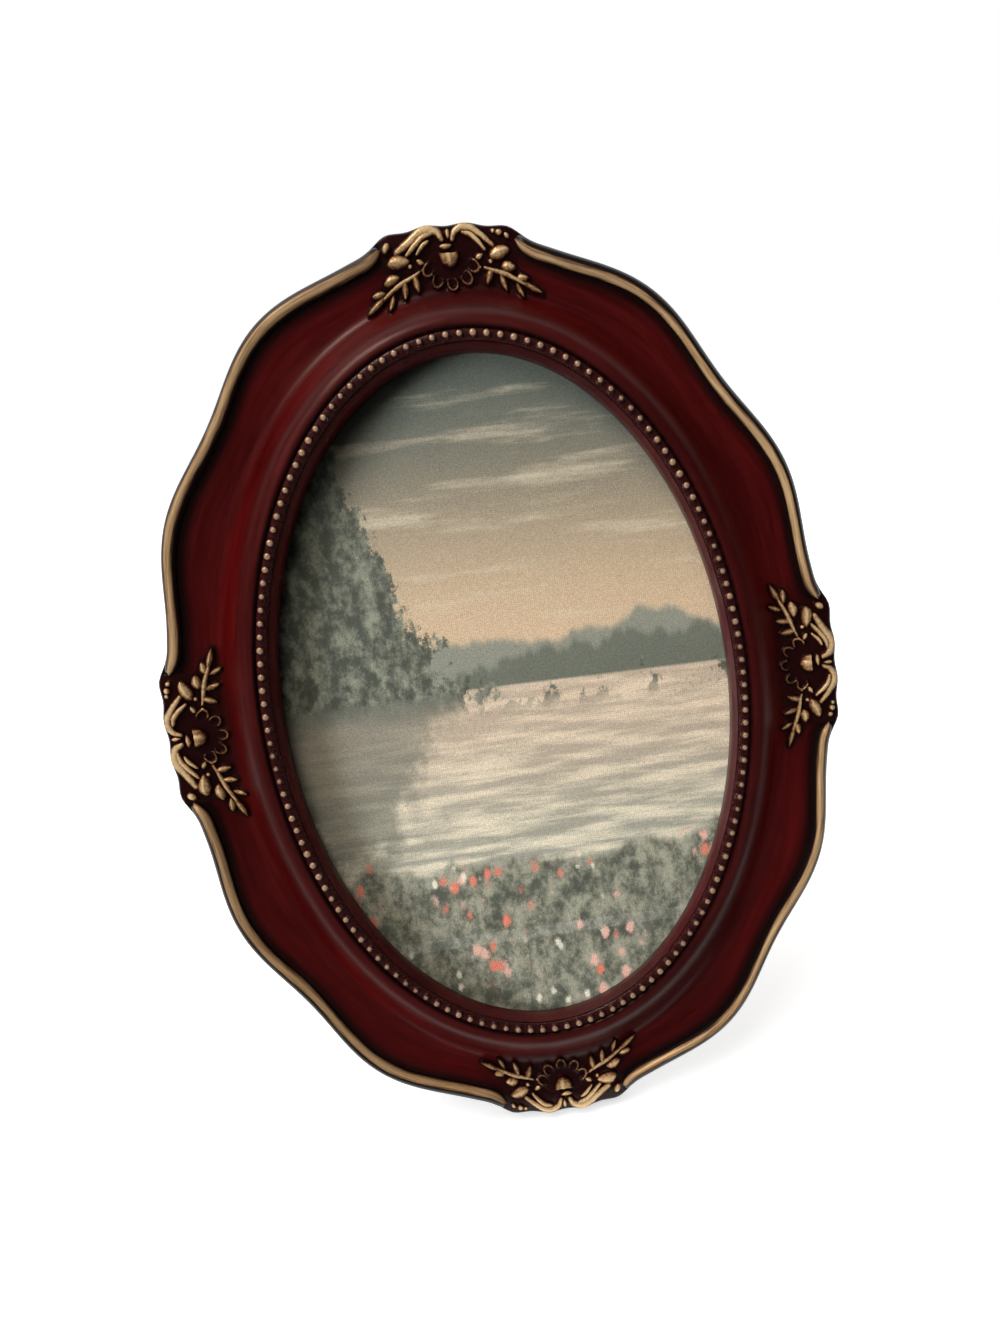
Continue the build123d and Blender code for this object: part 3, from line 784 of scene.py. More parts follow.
def board_material(name, colour, scale):
    """Pressed board covered with paper: fine fibres and faint mottling."""
    material, tree, shader = new_material(name)
    grain = use_group(tree, "Fine Grain", {"Scale": scale}).outputs
    fibres = remap(tree, grain["Grain"], 0.25, 0.75, 0.6, 1.4)
    level = times(tree, fibres, remap(tree, grain["Mottle"], 0.3, 0.7, 0.8, 1.2))
    feed(tree, shader, {
        "Base Color": shaded(tree, colour, level),
        "Roughness": remap(tree, grain["Mottle"], 0.3, 0.7, 0.72, 0.9),
        "Normal": bumped(tree, grain["Grain"], 0.0001),
    })
    return material


def glass_material():
    """Clear picture glass that lets light through to the print."""
    material, tree, shader = new_material("picture_glass")
    grain = use_group(tree, "Fine Grain", {"Scale": 120.0}).outputs
    feed(tree, shader, {
        "Base Color": (0.97, 0.99, 0.98, 1),
        "Transmission Weight": 1.0,
        "IOR": 1.3,
        "Roughness": remap(tree, grain["Mottle"], 0.3, 0.7, 0.0, 0.012),
    })
    clear = add_node(tree, "ShaderNodeBsdfTransparent", {"Color": (0.97, 0.98, 0.97, 1)})
    shadow = add_node(tree, "ShaderNodeLightPath").outputs["Is Shadow Ray"]
    glass = add_node(tree, "ShaderNodeMixShader", {0: shadow, 1: shader.outputs[0], 2: clear.outputs[0]})
    feed(tree, tree.nodes["Material Output"], {"Surface": glass.outputs[0]})
    return material


def print_sky(tree, y, level, streaky):
    """Peach sky with thin clouds over two ranges of hills."""
    picture = mixed(tree, remap(tree, y, 0.1, 0.85), *SKY)
    cloud = remap(tree, noise(tree, streaky, 0.9, 5.0, 0.6), 0.5, 0.72, 0.0, 0.75)
    picture = mixed(tree, cloud, picture, CLOUD)
    far = scaled(tree, noise(tree, level, 2.4, 5.0, 0.5), 0.36, 0.0)
    picture = mixed(tree, remap(tree, minus(tree, far, y), -0.01, 0.02), picture, FAR_HILLS)
    near = scaled(tree, noise(tree, shifted(tree, level, 4.0), 3.1, 7.0, 0.6), 0.34, -0.06)
    return mixed(tree, remap(tree, minus(tree, near, y), -0.01, 0.02), picture, NEAR_HILLS)


def print_water(tree, picture, y, streaky):
    """Cream water with level ripples."""
    water = mixed(tree, remap(tree, noise(tree, streaky, 2.2, 4.0, 0.55), 0.38, 0.66), *WATER)
    water = mixed(tree, remap(tree, y, -0.5, 0.02, 0.0, 0.45), water, WATER_GLOW)
    return mixed(tree, remap(tree, y, 0.045, 0.035), picture, water)


def print_trees(tree, picture, x, y, place):
    """Grey-green trees on the left shore, and their shade on the water."""
    bell = maths(tree, "POWER", maths(tree, "DIVIDE", maths(tree, "ADD", x, 0.72), 0.34), 2.0)
    bell = times(tree, maths(tree, "POWER", 2.718, times(tree, bell, -1.0)), 0.84)
    ragged = minus(tree, noise(tree, place, 9.0, 8.0, 0.68), 0.5)
    canopy = scaled(tree, ragged, 0.95, minus(tree, bell, 0.02))
    crown = times(tree, remap(tree, minus(tree, canopy, y), 0.0, 0.05), remap(tree, y, -0.06, 0.03))
    foliage = mixed(tree, remap(tree, noise(tree, place, 16.0, 6.0, 0.7), 0.4, 0.68), *FOLIAGE)
    picture = mixed(tree, crown, picture, foliage)
    mirrored = minus(tree, canopy, times(tree, y, -1.4))
    shade = times(tree, remap(tree, mirrored, 0.0, 0.3, 0.0, 0.7), remap(tree, y, 0.04, 0.02))
    return mixed(tree, shade, picture, WATER_SHADE)


def print_meadow(tree, picture, y, level, place):
    """Near bank with blossoms."""
    bank = scaled(tree, noise(tree, level, 1.7, 6.0, 0.6), 0.42, -0.68)
    over = minus(tree, bank, y)
    meadow = mixed(tree, remap(tree, noise(tree, place, 13.0, 7.0, 0.72), 0.38, 0.64), *MEADOW)
    picture = mixed(tree, remap(tree, over, -0.01, 0.03), picture, meadow)
    for scale, size, colour, shift in BLOSSOMS:
        cells = {"Vector": shifted(tree, place, shift), "Scale": scale, "Randomness": 1.0}
        petals = add_node(tree, "ShaderNodeTexVoronoi", cells).outputs["Distance"]
        ragged = scaled(tree, noise(tree, place, 60.0, 3.0, 0.7), 0.35, petals)
        patch = remap(tree, noise(tree, shifted(tree, place, shift + 2.0), 3.0, 2.0, 0.5), 0.46, 0.56)
        bloom = times(tree, remap(tree, ragged, size + 0.16, size), patch)
        picture = mixed(tree, times(tree, bloom, remap(tree, over, -0.03, 0.03)), picture, colour)
    return picture


def print_material():
    """Tinted old print of a lake at dusk, with the grain and dots of printed paper."""
    material, tree, shader = new_material("tinted_print")
    flat = use_group(tree, "Flat Frame").outputs["Flat"]
    parts = add_node(tree, "ShaderNodeSeparateXYZ", {0: flat}).outputs
    x = maths(tree, "DIVIDE", parts[0], PRINT_HALF[0])
    y = maths(tree, "DIVIDE", parts[1], PRINT_HALF[1])
    level = vector(tree, x)
    place = vector(tree, x, y)
    streaky = vector(tree, times(tree, x, 1.2), times(tree, y, 14.0))
    picture = print_sky(tree, y, level, streaky)
    picture = print_water(tree, picture, y, streaky)
    picture = print_trees(tree, picture, x, y, place)
    picture = print_meadow(tree, picture, y, level, place)
    grain = use_group(tree, "Fine Grain", {"Scale": 2400.0}).outputs
    cells = {"Vector": flat, "Scale": 1.9, "Randomness": 0.35}
    dots = remap(tree, add_node(tree, "ShaderNodeTexVoronoi", cells).outputs["Distance"], 0.1, 0.7, 1.1, 0.82)
    dotted = times(tree, dots, remap(tree, grain["Grain"], 0.2, 0.8, 0.8, 1.18))
    feed(tree, shader, {
        "Base Color": shaded(tree, picture, dotted),
        "Roughness": remap(tree, grain["Mottle"], 0.3, 0.7, 0.55, 0.7),
        "Normal": bumped(tree, grain["Grain"], 0.00002),
    })
    return material


def moulding_section():
    """Section of the moulding's front and side as (offset out from the opening, height)."""
    s = sizes()
    edge = s.moulding_width
    land = edge - s.land_width
    low = s.channel_height
    front = [*LIP, (CHANNEL_FROM, low)]
    front += [(offset, low) for offset in CHANNEL_CORNERS]
    front.append((RIDGE_FOOT[0], low + RIDGE_FOOT[1]))
    front += [(RIDGE_ROUND[0], s.ridge_height - RIDGE_ROUND[1]), (RIDGE_TOP, s.ridge_height)]
    for start, end, steps in ((SHOULDER_FROM, COVE_FLOOR, SHOULDER_STEPS), (COVE_FLOOR, land, COVE_STEPS)):
        offsets = [start + (end - start) * k / steps for k in range(1, steps + 1)]
        front += [(offset, face_height(offset)) for offset in offsets]
    side = [(edge - EDGE_ROUND, s.land_height), (edge, s.land_height - EDGE_ROUND)]
    return front + side + [(edge, BACK_BEVEL[1]), (edge - BACK_BEVEL[0], 0.0)]


class MESH_OT_oval_moulding(bpy.types.Operator):
    """Sweeps the moulding's section round the waved oval."""

    bl_idname = "mesh.oval_moulding"
    bl_label = "Moulding"

    def execute(self, context):
        section = moulding_section()
        last = len(section)

        def place(turn, station):
            if station < last:
                return oval_place(turn, *section[station])
            height = 0.0 if station == last else REBATE_TOP
            if station <= last + 1:
                return Vector((REBATE_HALF[0] * math.cos(turn), REBATE_HALF[1] * math.sin(turn), height))
            return oval_place(turn, 0.0, height)

        piece = swept_loop("moulding", MOULDING_SIDES, last + 3, place, True)
        turns = read_attribute(piece.data, "turn")
        stations = [round(station) for station in read_attribute(piece.data, "station")]
        offsets = np.array([section[k][0] if k < last else sizes().moulding_width for k in stations])
        write_sweep(piece.data, turns, offsets)
        write_attribute(piece.data, "ornament_darkening", self.ornament_darkening(piece.data, offsets))
        stand_up(piece)
        smooth(piece, 38)
        settle(piece, "frame", ["frame_moulding"], lacquer_material())
        return {"FINISHED"}

    def ornament_darkening(self, mesh, offsets):
        """How much the lacquer is darkened at each vertex: round the ornaments, and none on the shoulder."""
        spots = [oval_place(math.radians(angle), DARKENING_MIDDLE, 0.0) for angle in CRESTS.values()]
        away = [min(math.hypot(v.co.x - p.x, v.co.y - p.y) for p in spots) for v in mesh.vertices]
        near = np.clip((DARKENING_REACH - np.array(away)) / DARKENING_FADE, 0, 1)
        return near * np.clip((offsets - DARKENING_FROM) / DARKENING_RISE, 0, 1)


class MESH_OT_oval_gilt_rims(bpy.types.Operator):
    """Runs a half-round gilt edge along the wave between the ornaments, with rounded ends."""

    bl_idname = "mesh.oval_gilt_rims"
    bl_label = "Gilt edge"

    def execute(self, context):
        material = rim_material()
        for name, first in RIM_QUARTERS.items():
            piece = self.stretch(f"gilt_edge_{name}", *self.span(first))
            settle(piece, "frame", [f"gilt_rim_{name}"], material)
        return {"FINISHED"}

    def stretch(self, name, start, end):
        """One stretch of the edge between two turns."""
        s = sizes()
        middle = s.moulding_width - s.land_width / 2
        half = s.rim_width / 2
        last = RIM_STEPS - 1

        def place(around, station):
            turn = start + (end - start) * station / last
            run = min(station, last - station) / last * RIM_RUN
            taper = max(1 - (1 - min(run / RIM_END, 1)) ** 2, 0.0) ** 0.5
            taper = max(taper, RIM_TIP)
            across = math.cos(around) * half * taper
            rise = s.rim_height * taper * math.sin(around)
            height = s.land_height + (rise if rise > 0 else rise * RIM_UNDER)
            return oval_place(turn, middle + across, height)

        piece = swept_loop(name, RIM_SIDES, RIM_STEPS, place, False)
        around = read_attribute(piece.data, "turn")
        turns = start + (end - start) * read_attribute(piece.data, "station") / last
        write_sweep(piece.data, turns, middle + np.cos(around) * half)
        lean = 0.42 + 0.3 * np.sin(2 * turns - 0.6)
        write_attribute(piece.data, "crown", np.clip(np.sin(around - lean), 0, 1))
        stand_up(piece)
        outward(piece)
        smooth(piece, 50)
        return piece

    def span(self, first):
        """Turns where a stretch starts and ends, clear of the ornaments on both sides."""
        s = sizes()
        gap = s.rim_gap / 2
        across = math.asin(gap / (s.sight_half_height + s.moulding_width))
        down = math.acos(gap / (s.sight_half_width + s.moulding_width))
        if first in (0, 180):
            return math.radians(first) + across, math.radians(first) + down
        return math.radians(first + 90) - down, math.radians(first + 90) - across


class MESH_OT_oval_beads(bpy.types.Operator):
    """Lays a strip in the channel and a ring of small beads on it."""

    bl_idname = "mesh.oval_beads"
    bl_label = "Beads"

    def execute(self, context):
        s = sizes()
        low = s.channel_height
        section = [(offset, low + rise) for offset, rise in BAND_SECTION]

        def place(turn, station):
            return oval_place(turn, *section[station])

        band = swept_loop("bead_band", BAND_SIDES, len(section), place, True)
        bead = self.bead()
        around = np.linspace(0, 2 * math.pi, 3601)
        path = np.array([oval_place(turn, BEAD_OFFSET, low + BEAD_RISE)[:] for turn in around])
        run = np.concatenate([[0], np.cumsum(np.linalg.norm(np.diff(path, axis=0), axis=1))])
        heights = [0.0] * len(band.data.vertices)
        mesh = bmesh.new()
        mesh.from_mesh(band.data)
        for k in range(s.beads):
            want = run[-1] * k / s.beads
            spot = Vector([np.interp(want, run, path[:, axis]) for axis in range(3)])
            grown = 1 + BEAD_SPREAD * math.sin(k * GOLDEN_TURN)
            before = len(mesh.verts)
            mesh.from_mesh(bead.data)
            mesh.verts.ensure_lookup_table()
            for vertex in mesh.verts[before:]:
                heights.append(max(vertex.co.z / s.bead_radius, 0.0))
                vertex.co = spot + vertex.co * grown
        mesh.to_mesh(band.data)
        mesh.free()
        bpy.data.objects.remove(bead)
        write_attribute(band.data, "relief", heights)
        stand_up(band)
        smooth(band, 60)
        settle(band, "frame", ["bead_strip"], bead_material())
        return {"FINISHED"}

    def bead(self):
        """Small ball with its foot cut off."""
        radius = sizes().bead_radius
        start_clean()
        bpy.ops.mesh.primitive_uv_sphere_add(segments=10, ring_count=8, radius=radius)
        bead = bpy.context.object
        edit_whole(bead)
        bpy.ops.mesh.bisect(plane_co=(0, 0, -radius * BEAD_CUT), plane_no=(0, 0, 1), clear_inner=True)
        bpy.ops.object.mode_set(mode="OBJECT")
        return bead


class MESH_OT_oval_ornaments(bpy.types.Operator):
    """Raises the leafy carving out of a fine grid and lays it on each of the four crests."""

    bl_idname = "mesh.oval_ornaments"
    bl_label = "Ornaments"

    def execute(self, context):
        material = carving_material()
        start_clean()
        columns, rows = CARVING_GRID
        bpy.ops.mesh.primitive_grid_add(x_subdivisions=columns, y_subdivisions=rows, size=1.0)
        blank = context.object
        flat = np.zeros(len(blank.data.vertices) * 3)
        blank.data.vertices.foreach_get("co", flat)
        flat = flat.reshape(-1, 3)
        along = flat[:, 0] * CARVING_LENGTH
        inward = CARVING_MIDDLE - flat[:, 1] * CARVING_DEPTH
        rise, crest, ground = self.carving(along, inward)
        write_attribute(blank.data, "relief", crest)
        keep = self.trim(blank, ground)
        points = list(zip(along[keep], inward[keep], rise[keep], ground[keep]))
        for name, angle in CRESTS.items():
            piece = blank if name == "right" else bpy.data.objects.new("carving", blank.data.copy())
            if name != "right":
                context.scene.collection.objects.link(piece)
            piece.name = f"carving_{name}"
            piece.data.name = piece.name
            spots = [self.place(math.radians(angle), *point) for point in points]
            piece.data.vertices.foreach_set("co", np.array(spots).ravel())
            stand_up(piece)
            smooth(piece, 60)
            settle(piece, "frame", [f"ornament_{name}"], material)
        return {"FINISHED"}

    def trim(self, blank, ground):
        """Cuts away the grid outside the carving, and gives the vertices that stay."""
        activate(blank)
        bpy.ops.object.mode_set(mode="EDIT")
        bpy.ops.mesh.select_all(action="DESELECT")
        mesh = bmesh.from_edit_mesh(blank.data)
        mesh.verts.ensure_lookup_table()
        for face in mesh.faces:
            face.select_set(all(ground[v.index] <= 0.0 for v in face.verts))
        keep = [v.index for v in mesh.verts if any(not face.select for face in v.link_faces)]
        bmesh.update_edit_mesh(blank.data)
        bpy.ops.mesh.delete(type="FACE")
        bpy.ops.object.mode_set(mode="OBJECT")
        return keep

    def place(self, crest, along, inward, rise, ground):
        """Puts a point of the carving on the moulding's face."""
        s = sizes()
        a = s.sight_half_width + s.moulding_width
        b = s.sight_half_height + s.moulding_width
        offset = s.moulding_width - max(inward, 0.3) * MM
        inset = max(inward, 0.0) * MM
        turn = crest - along * MM / math.hypot((a - inset) * math.sin(crest), (b - inset) * math.cos(crest))
        foot = face_height(offset) + (ground - GROUND_SINK) * MM
        return oval_place(turn, offset, foot + rise * s.relief * MM)

    def carving(self, along, inward):
        """Height of the carving, nearness to its form's crest and rise of the ground at each point."""
        rise = np.zeros_like(along)
        crest = np.zeros_like(along)

        def raised(share, height, gilt=1.0):
            higher = share * height > rise
            rise[higher] = share[higher] * height
            crest[higher] = share[higher] * gilt

        for p, q, length, width, turn, height in LEAVES:
            raised(self.leaf(along, inward, p, q, length, width, math.radians(turn)), height)
        for points, width, height in RIBS:
            raised(self.rib(along, inward, points, width), height)
        for p, q in PETALS:
            raised(self.petal(along, inward, p, q), PETAL_HEIGHT, PETAL_GILT)
        for p, q, radius in PEARLS:
            away = np.hypot(along - p, inward - q) / radius
            raised(np.clip(1 - away**2, 0, 1) ** 0.5, radius * PEARL_RISE)
        raised(self.bud(along, inward), BUD_HEIGHT)
        crest *= 1 - 0.14 * np.clip((inward - 8.5) / 3.0, 0, 1)
        rim = np.clip((inward - 0.1) / 0.4, 0, 1) ** 0.5
        return rise * rim, crest, self.ground(along, inward, rise) * rim

    def ground(self, along, inward, rise):
        """How far the dark ground stands up: round each form, in the flower and as a cushion at the edge.
        This dark ground round the forms is partly a dark wash and partly painted shade.
        """
        near = np.zeros_like(along)
        lift = rise > 0.25
        spots = np.stack([along[lift], inward[lift]], 1)[::7]
        for k in range(0, len(along), 2000):
            block = np.stack([along[k:k + 2000], inward[k:k + 2000]], 1)
            near[k:k + 2000] = np.sqrt(((block[:, None, :] - spots[None]) ** 2).sum(2)).min(1)
        ground = np.clip(GROUND_RISE - near * np.where(inward > 13.0, 0.34, 0.19), 0, GROUND_RISE)
        bed = 1.15 - np.hypot(along / 6.0, (inward - 8.8) / 4.2)
        ground = np.maximum(ground, np.clip(bed / 0.3, 0, 1) * 0.5)
        end = np.clip((16.6 - np.abs(along)) / 3.4, 0, 1)
        end = end * end * (3 - 2 * end)
        fade = np.clip((8.5 - inward) / 6.0, 0, 1)
        cushion = 0.3 * end * fade * fade * (3 - 2 * fade)
        return np.maximum(ground, np.where(cushion > 0.004, cushion + GROUND_SINK, 0.0))

    def leaf(self, along, inward, p, q, length, width, turn):
        """Plump leaf, fuller towards its base, with a faint ridge."""
        u = ((along - p) * math.cos(turn) + (inward - q) * math.sin(turn)) / (length / 2)
        w = (-(along - p) * math.sin(turn) + (inward - q) * math.cos(turn)) / (width / 2)
        room = np.clip(1 - u**2, 0, 1)
        half = np.maximum(room**0.62 * (1 - 0.18 * u), 1e-3)
        round_top = np.clip(1 - (w / half) ** 2, 0, 1) ** 0.5
        ridge = 0.9 + 0.1 * np.clip(1 - np.abs(w) / 0.25, 0, 1)
        return round_top * room**0.22 * ridge

    def petal(self, along, inward, p, q):
        """Looped petal, open towards the flower's middle."""
        out = Vector((p - PETALS_FROM[0], q - PETALS_FROM[1])).normalized()
        far = ((along - p) * out.x + (inward - q) * out.y) / 1.25
        aside = (inward - q) * out.x - (along - p) * out.y
        loop = np.clip(1 - ((np.hypot(far, aside) - 1.15) / 0.34) ** 2, 0, 1) ** 0.5
        return loop * np.clip((far + 1.0) / 0.9, 0, 1)

    def rib(self, along, inward, points, width):
        """Rounded rib along a line of points, swelling in its middle."""
        points = np.array(points)
        fine = np.linspace(0, len(points) - 1, RIB_POINTS)
        line = np.stack([np.interp(fine, range(len(points)), points[:, k]) for k in (0, 1)], 1)
        for _ in range(RIB_SMOOTHING):
            line[1:-1] = (line[:-2] + 2 * line[1:-1] + line[2:]) / 4
        best = np.full_like(along, 1e9)
        share = np.zeros_like(along)
        for k, (p, q) in enumerate(line):
            away = np.hypot(along - p, inward - q)
            closer = away < best
            best[closer] = away[closer]
            share[closer] = k / (len(line) - 1)
        swell = 0.55 + 0.45 * np.sin(np.pi * np.clip(share * 0.92 + 0.04, 0, 1))
        across = best / (width / 2 * swell)
        return (0.7 + 0.3 * swell) * np.clip(1 - across**2, 0, 1) ** 0.5

    def bud(self, along, inward):
        """Half-round bud with a level top and three shallow flutes."""
        u = along / 2.5
        w = (inward - 6.5) / 3.0
        inside = np.clip(1 - u**2 - np.clip(w, 0, None) ** 2, 0, 1) ** 0.36
        top = np.clip((inward - 6.1) / 0.5, 0, 1)
        flutes = 0.93 + 0.07 * np.cos(along * 3.6)
        return inside * top * flutes


class MESH_OT_oval_glass(bpy.types.Operator):
    """Cuts the oval glass with polished edges."""

    bl_idname = "mesh.oval_glass"
    bl_label = "Glass"

    def execute(self, context):
        start_clean()
        bpy.ops.mesh.primitive_circle_add(vertices=192, radius=1.0, fill_type="NGON")
        piece = context.object
        piece.name = "oval_glass"
        edit_whole(piece)
        bpy.ops.transform.resize(value=(*GLASS_HALF, 1.0))
        bpy.ops.transform.translate(value=(0, 0, GLASS_LOW))
        bpy.ops.mesh.extrude_region_move(TRANSFORM_OT_translate={"value": (0, 0, GLASS_THICKNESS)})
        bpy.ops.object.mode_set(mode="OBJECT")
        outward(piece)
        arris = piece.modifiers.new("Arris", "BEVEL")
        arris.width = GLASS_ARRIS
        arris.segments = 2
        arris.limit_method = "ANGLE"
        apply_modifiers(piece)
        stand_up(piece)
        smooth(piece, 10)
        settle(piece, "frame", ["glass_pane"], glass_material())
        return {"FINISHED"}


class MESH_OT_oval_print_and_back(bpy.types.Operator):
    """Finishes the print, the card and the board behind the glass."""

    bl_idname = "mesh.oval_print_and_back"
    bl_label = "Print and back"

    def execute(self, context):
        c = colours()
        finishes = {
            "photo_print": print_material(),
            "backing_card": board_material("brown_card", c.card, 1500.0),
        }
        for node, material in finishes.items():
            mesh = frame["nodes"][node].data
            mesh.materials.clear()
            mesh.materials.append(material)
        paper = board_material("black_paper_board", c.board, 1900.0)
        finish_node("back_board", "frame", paper, 0.0003, 2)
        return {"FINISHED"}


class MESH_OT_oval_turn_buttons(bpy.types.Operator):
    """Rounds the turn buttons and gives their screws slotted heads."""

    bl_idname = "mesh.oval_turn_buttons"
    bl_label = "Turn buttons"

    def execute(self, context):
        c = colours()
        brass = metal_material("stamped_brass", c.brass, 0.24)
        for number in range(1, 5):
            finish_node(f"turn_button_{number}", f"button_{number}", brass, 0.0002, 2)
        screws = finished_copy("button_screws", 0.0005, 3)
        for number in range(1, 5):
            self.slot(screws, number)
        smooth(screws, CREASE)
        settle(screws, "frame", ["button_screws"], metal_material("plated_steel", c.steel, 0.2))
        return {"FINISHED"}

    def slot(self, screws, number):
        """Cuts the driver's slot across one screw's head."""
        back = standing().to_3x3() @ Vector((0, 0, -1))
        spot = JOINTS[f"button_{number}_turn"]
        arms = [vertex.co - spot for vertex in screws.data.vertices]
        reach = max(arm.dot(back) for arm in arms if arm.cross(back).length < SCREW_REACH)
        start_clean()
        bpy.ops.mesh.primitive_cube_add(size=1.0)
        cutter = bpy.context.object
        turn = back.to_track_quat("Z", "Y").to_matrix().to_4x4() @ Matrix.Rotation(0.4 + number * 1.1, 4, "Z")
        blade = Matrix.Diagonal((*SLOT, 1))
        cutter.data.transform(Matrix.Translation(spot + back * reach) @ turn @ blade)
        cut = screws.modifiers.new("Slot", "BOOLEAN")
        cut.object = cutter
        cut.operation = "DIFFERENCE"
        cut.solver = "EXACT"
        apply_modifiers(screws)
        bpy.data.objects.remove(cutter)


class MESH_OT_oval_easel(bpy.types.Operator):
    """Softens the leg, its hinge and their rivets."""

    bl_idname = "mesh.oval_easel"
    bl_label = "Easel leg and hinge"

    def execute(self, context):
        brass = bpy.data.materials["stamped_brass"]
        steel = bpy.data.materials["plated_steel"]
        paper = board_material("black_paper_leg", colours().board, 1900.0)
        finish_node("easel_leg", "leg", paper, 0.0004, 2)
        finish_node("hinge_fixed_leaf", "frame", brass, 0.00015, 3)
        finish_node("hinge_leg_leaf", "leg", brass, 0.00015, 3)
        finish_node("hinge_pin", "frame", steel, 0.0001, 3)
        finish_node("hinge_rivets", "frame", steel, 0.0004, 3)
        finish_node("leg_rivets", "leg", steel, 0.0004, 3)
        return {"FINISHED"}


class MESH_OT_oval_hanger(bpy.types.Operator):
    """Finishes the hanger's strap, rivet and wire ring."""

    bl_idname = "mesh.oval_hanger"
    bl_label = "Hanger"

    def execute(self, context):
        brass = bpy.data.materials["stamped_brass"]
        steel = bpy.data.materials["plated_steel"]
        finish_node("hanger_strap", "frame", brass, 0.00012, 2)
        finish_node("hanger_rivet", "frame", steel, 0.0004, 3)
        finish_node("hanger_ring", "ring", brass, 0.00002, 1)
        return {"FINISHED"}


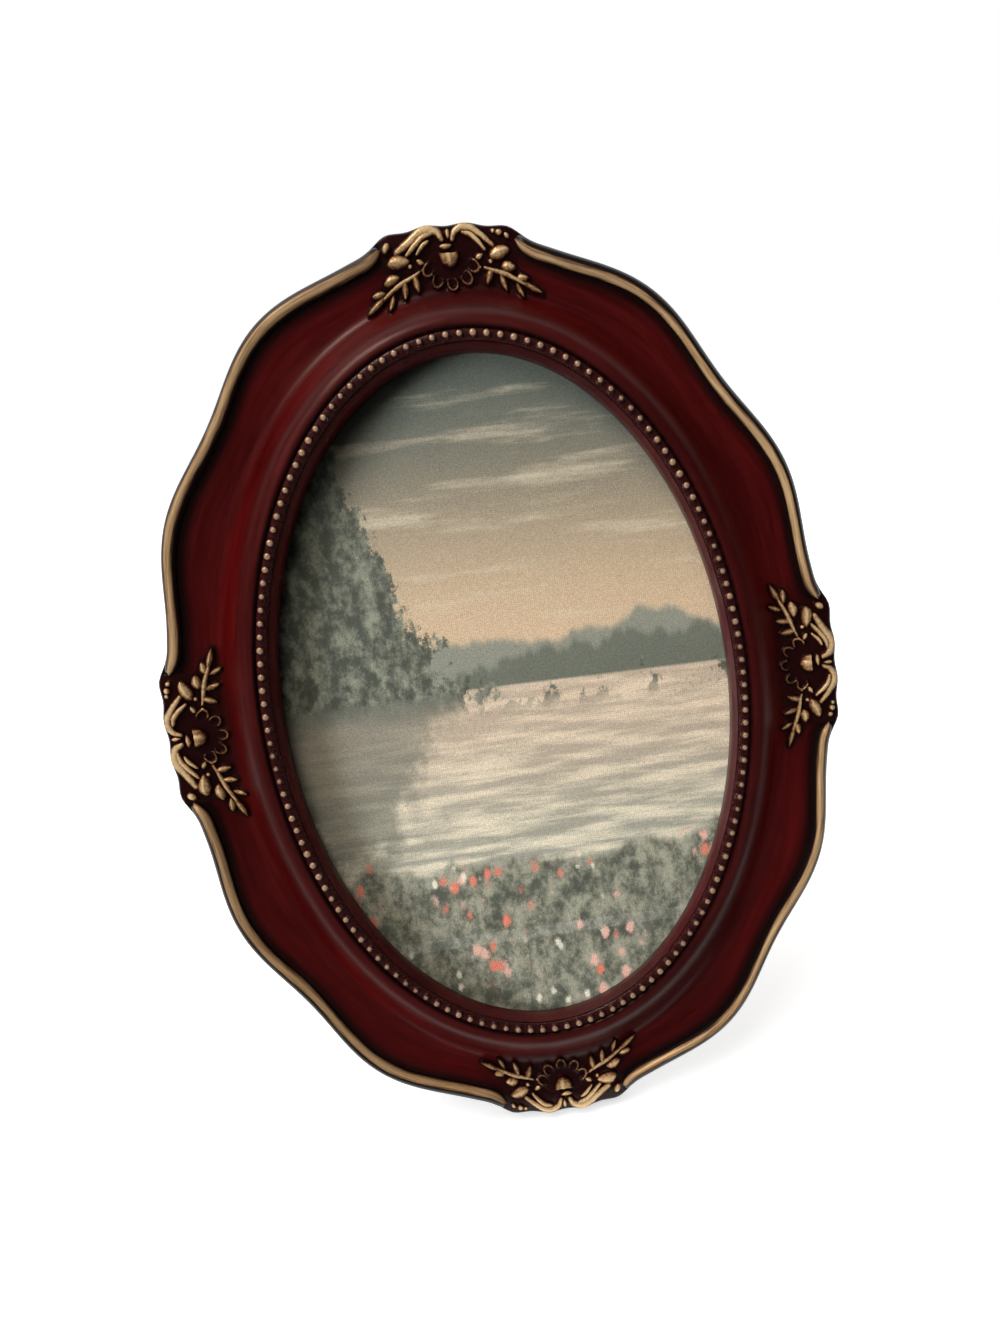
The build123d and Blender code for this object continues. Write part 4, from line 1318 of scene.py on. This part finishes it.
class SCENE_OT_oval_stage(bpy.types.Operator):
    """Sets the pale floor, the soft lights, the world and the camera."""

    bl_idname = "scene.oval_stage"
    bl_label = "Stage"

    def execute(self, context):
        scene = context.scene
        scene.view_settings.view_transform = "Standard"
        self.floor()
        self.world(scene)
        self.screens()
        for lamp in LAMPS:
            self.lamp(scene, *lamp)
        self.camera(scene)
        return {"FINISHED"}

    def floor(self):
        """Wide pale floor that keeps the shadow, and is white far off."""
        start_clean()
        bpy.ops.mesh.primitive_plane_add(size=40.0)
        floor = bpy.context.object
        floor.name = "floor"
        material, tree, shader = new_material("pale_floor")
        away = add_node(tree, "ShaderNodeVectorMath", {0: object_place(tree)}, operation="LENGTH")
        glow = remap(tree, away.outputs["Value"], 0.15, 1.3, 0.58, 0.86)
        feed(tree, shader, {
            "Base Color": (0.8, 0.8, 0.8, 1),
            "Roughness": 0.9,
            "Specular IOR Level": 0.0,
            "Emission Color": (1, 1, 1, 1),
            "Emission Strength": times(tree, seen(tree), glow),
        })
        floor.data.materials.append(material)

    def screens(self):
        """Dark dome and mat in front of the frame that keep the lacquer's reflections deep."""
        start_clean()
        bpy.ops.mesh.primitive_uv_sphere_add(segments=48, ring_count=24, radius=1.7)
        dome = bpy.context.object
        dome.name = "dark_screen"
        edit_whole(dome)
        bpy.ops.mesh.bisect(plane_co=(0, 0.2, 0), plane_no=(0, 1, 0), clear_outer=True)
        bpy.ops.mesh.select_all(action="SELECT")
        bpy.ops.mesh.bisect(plane_co=(0, 0, 0.02), plane_no=(0, 0, 1), clear_inner=True)
        start_clean()
        bpy.ops.mesh.primitive_plane_add(size=1.0)
        mat = bpy.context.object
        mat.name = "dark_mat"
        mat.data.transform(Matrix.Translation((0, -0.802, 0.004)) @ Matrix.Diagonal((3.2, 1.5, 1, 1)))
        material, tree, shader = new_material("dark_cloth")
        feed(tree, shader, {"Base Color": (0.05, 0.047, 0.045, 1), "Roughness": 0.95})
        for screen in (dome, mat):
            screen.data.materials.append(material)
            screen.visible_camera = False
            screen.visible_diffuse = False
            screen.visible_shadow = False

    def world(self, scene):
        """White background for what is seen, a plain grey for what only lights."""
        world = bpy.data.worlds.new("studio")
        scene.world = world
        world.use_nodes = True
        tree = world.node_tree
        strength = scaled(tree, seen(tree), 1 - WORLD_LIGHT, WORLD_LIGHT)
        feed(tree, tree.nodes["Background"], {"Color": (1, 1, 1, 1), "Strength": strength})

    def lamp(self, scene, name, place, width, depth, power, colour, lights, shows):
        """Soft area lamp that faces the frame's middle."""
        light = bpy.data.lights.new(name, "AREA")
        light.shape = "RECTANGLE"
        light.size = width
        light.size_y = depth
        light.energy = power
        light.color = colour
        lamp = bpy.data.objects.new(name, light)
        scene.collection.objects.link(lamp)
        lamp.location = place
        lamp.rotation_euler = (Vector(LAMPS_FACE) - Vector(place)).to_track_quat("-Z", "Y").to_euler()
        lamp.visible_diffuse = lights
        lamp.visible_glossy = shows

    def camera(self, scene):
        """Camera at the photograph's angle."""
        data = bpy.data.cameras.new("camera")
        data.lens = 27.007
        data.sensor_width = 36.0
        data.shift_x = -0.10584
        data.shift_y = 0.0975
        data.clip_start = 0.01
        camera = bpy.data.objects.new("camera", data)
        scene.collection.objects.link(camera)
        camera.location = (0.010012, -0.257419, 0.192129)
        camera.rotation_euler = [math.radians(v) for v in (65.3945, 4.9722, -7.1468)]
        scene.camera = camera


class VIEW3D_PT_oval_frame(bpy.types.Panel):
    """Lists the frame's sizes, colours and pieces."""

    bl_idname = "VIEW3D_PT_oval_frame"
    bl_label = "Oval Frame"
    bl_space_type = "VIEW_3D"
    bl_region_type = "UI"
    bl_category = "Oval Frame"

    def draw(self, context):
        for group in (context.scene.oval_frame_sizes, context.scene.oval_frame_colours):
            for name in group.__annotations__:
                self.layout.prop(group, name)
        for operator in OPERATORS:
            self.layout.operator(operator.bl_idname)


OPERATORS = (
    MESH_OT_oval_moulding,
    MESH_OT_oval_gilt_rims,
    MESH_OT_oval_beads,
    MESH_OT_oval_ornaments,
    MESH_OT_oval_glass,
    MESH_OT_oval_print_and_back,
    MESH_OT_oval_turn_buttons,
    MESH_OT_oval_easel,
    MESH_OT_oval_hanger,
    SCENE_OT_oval_stage,
)
CLASSES = (OvalFrameSizes, OvalFrameColours, *OPERATORS, VIEW3D_PT_oval_frame)


def register():
    """Adds the classes and the scene's settings."""
    for item in CLASSES:
        bpy.utils.register_class(item)
    bpy.types.Scene.oval_frame_sizes = PointerProperty(type=OvalFrameSizes)
    bpy.types.Scene.oval_frame_colours = PointerProperty(type=OvalFrameColours)


def unregister():
    """Removes the classes and the scene's settings."""
    del bpy.types.Scene.oval_frame_colours
    del bpy.types.Scene.oval_frame_sizes
    for item in reversed(CLASSES):
        bpy.utils.unregister_class(item)


def main():
    """Builds every piece and the stage."""
    register()
    bpy.ops.mesh.oval_moulding()
    bpy.ops.mesh.oval_gilt_rims()
    bpy.ops.mesh.oval_beads()
    bpy.ops.mesh.oval_ornaments()
    bpy.ops.mesh.oval_glass()
    bpy.ops.mesh.oval_print_and_back()
    bpy.ops.mesh.oval_turn_buttons()
    bpy.ops.mesh.oval_easel()
    bpy.ops.mesh.oval_hanger()
    bpy.ops.scene.oval_stage()


if __name__ == "__main__":
    main()
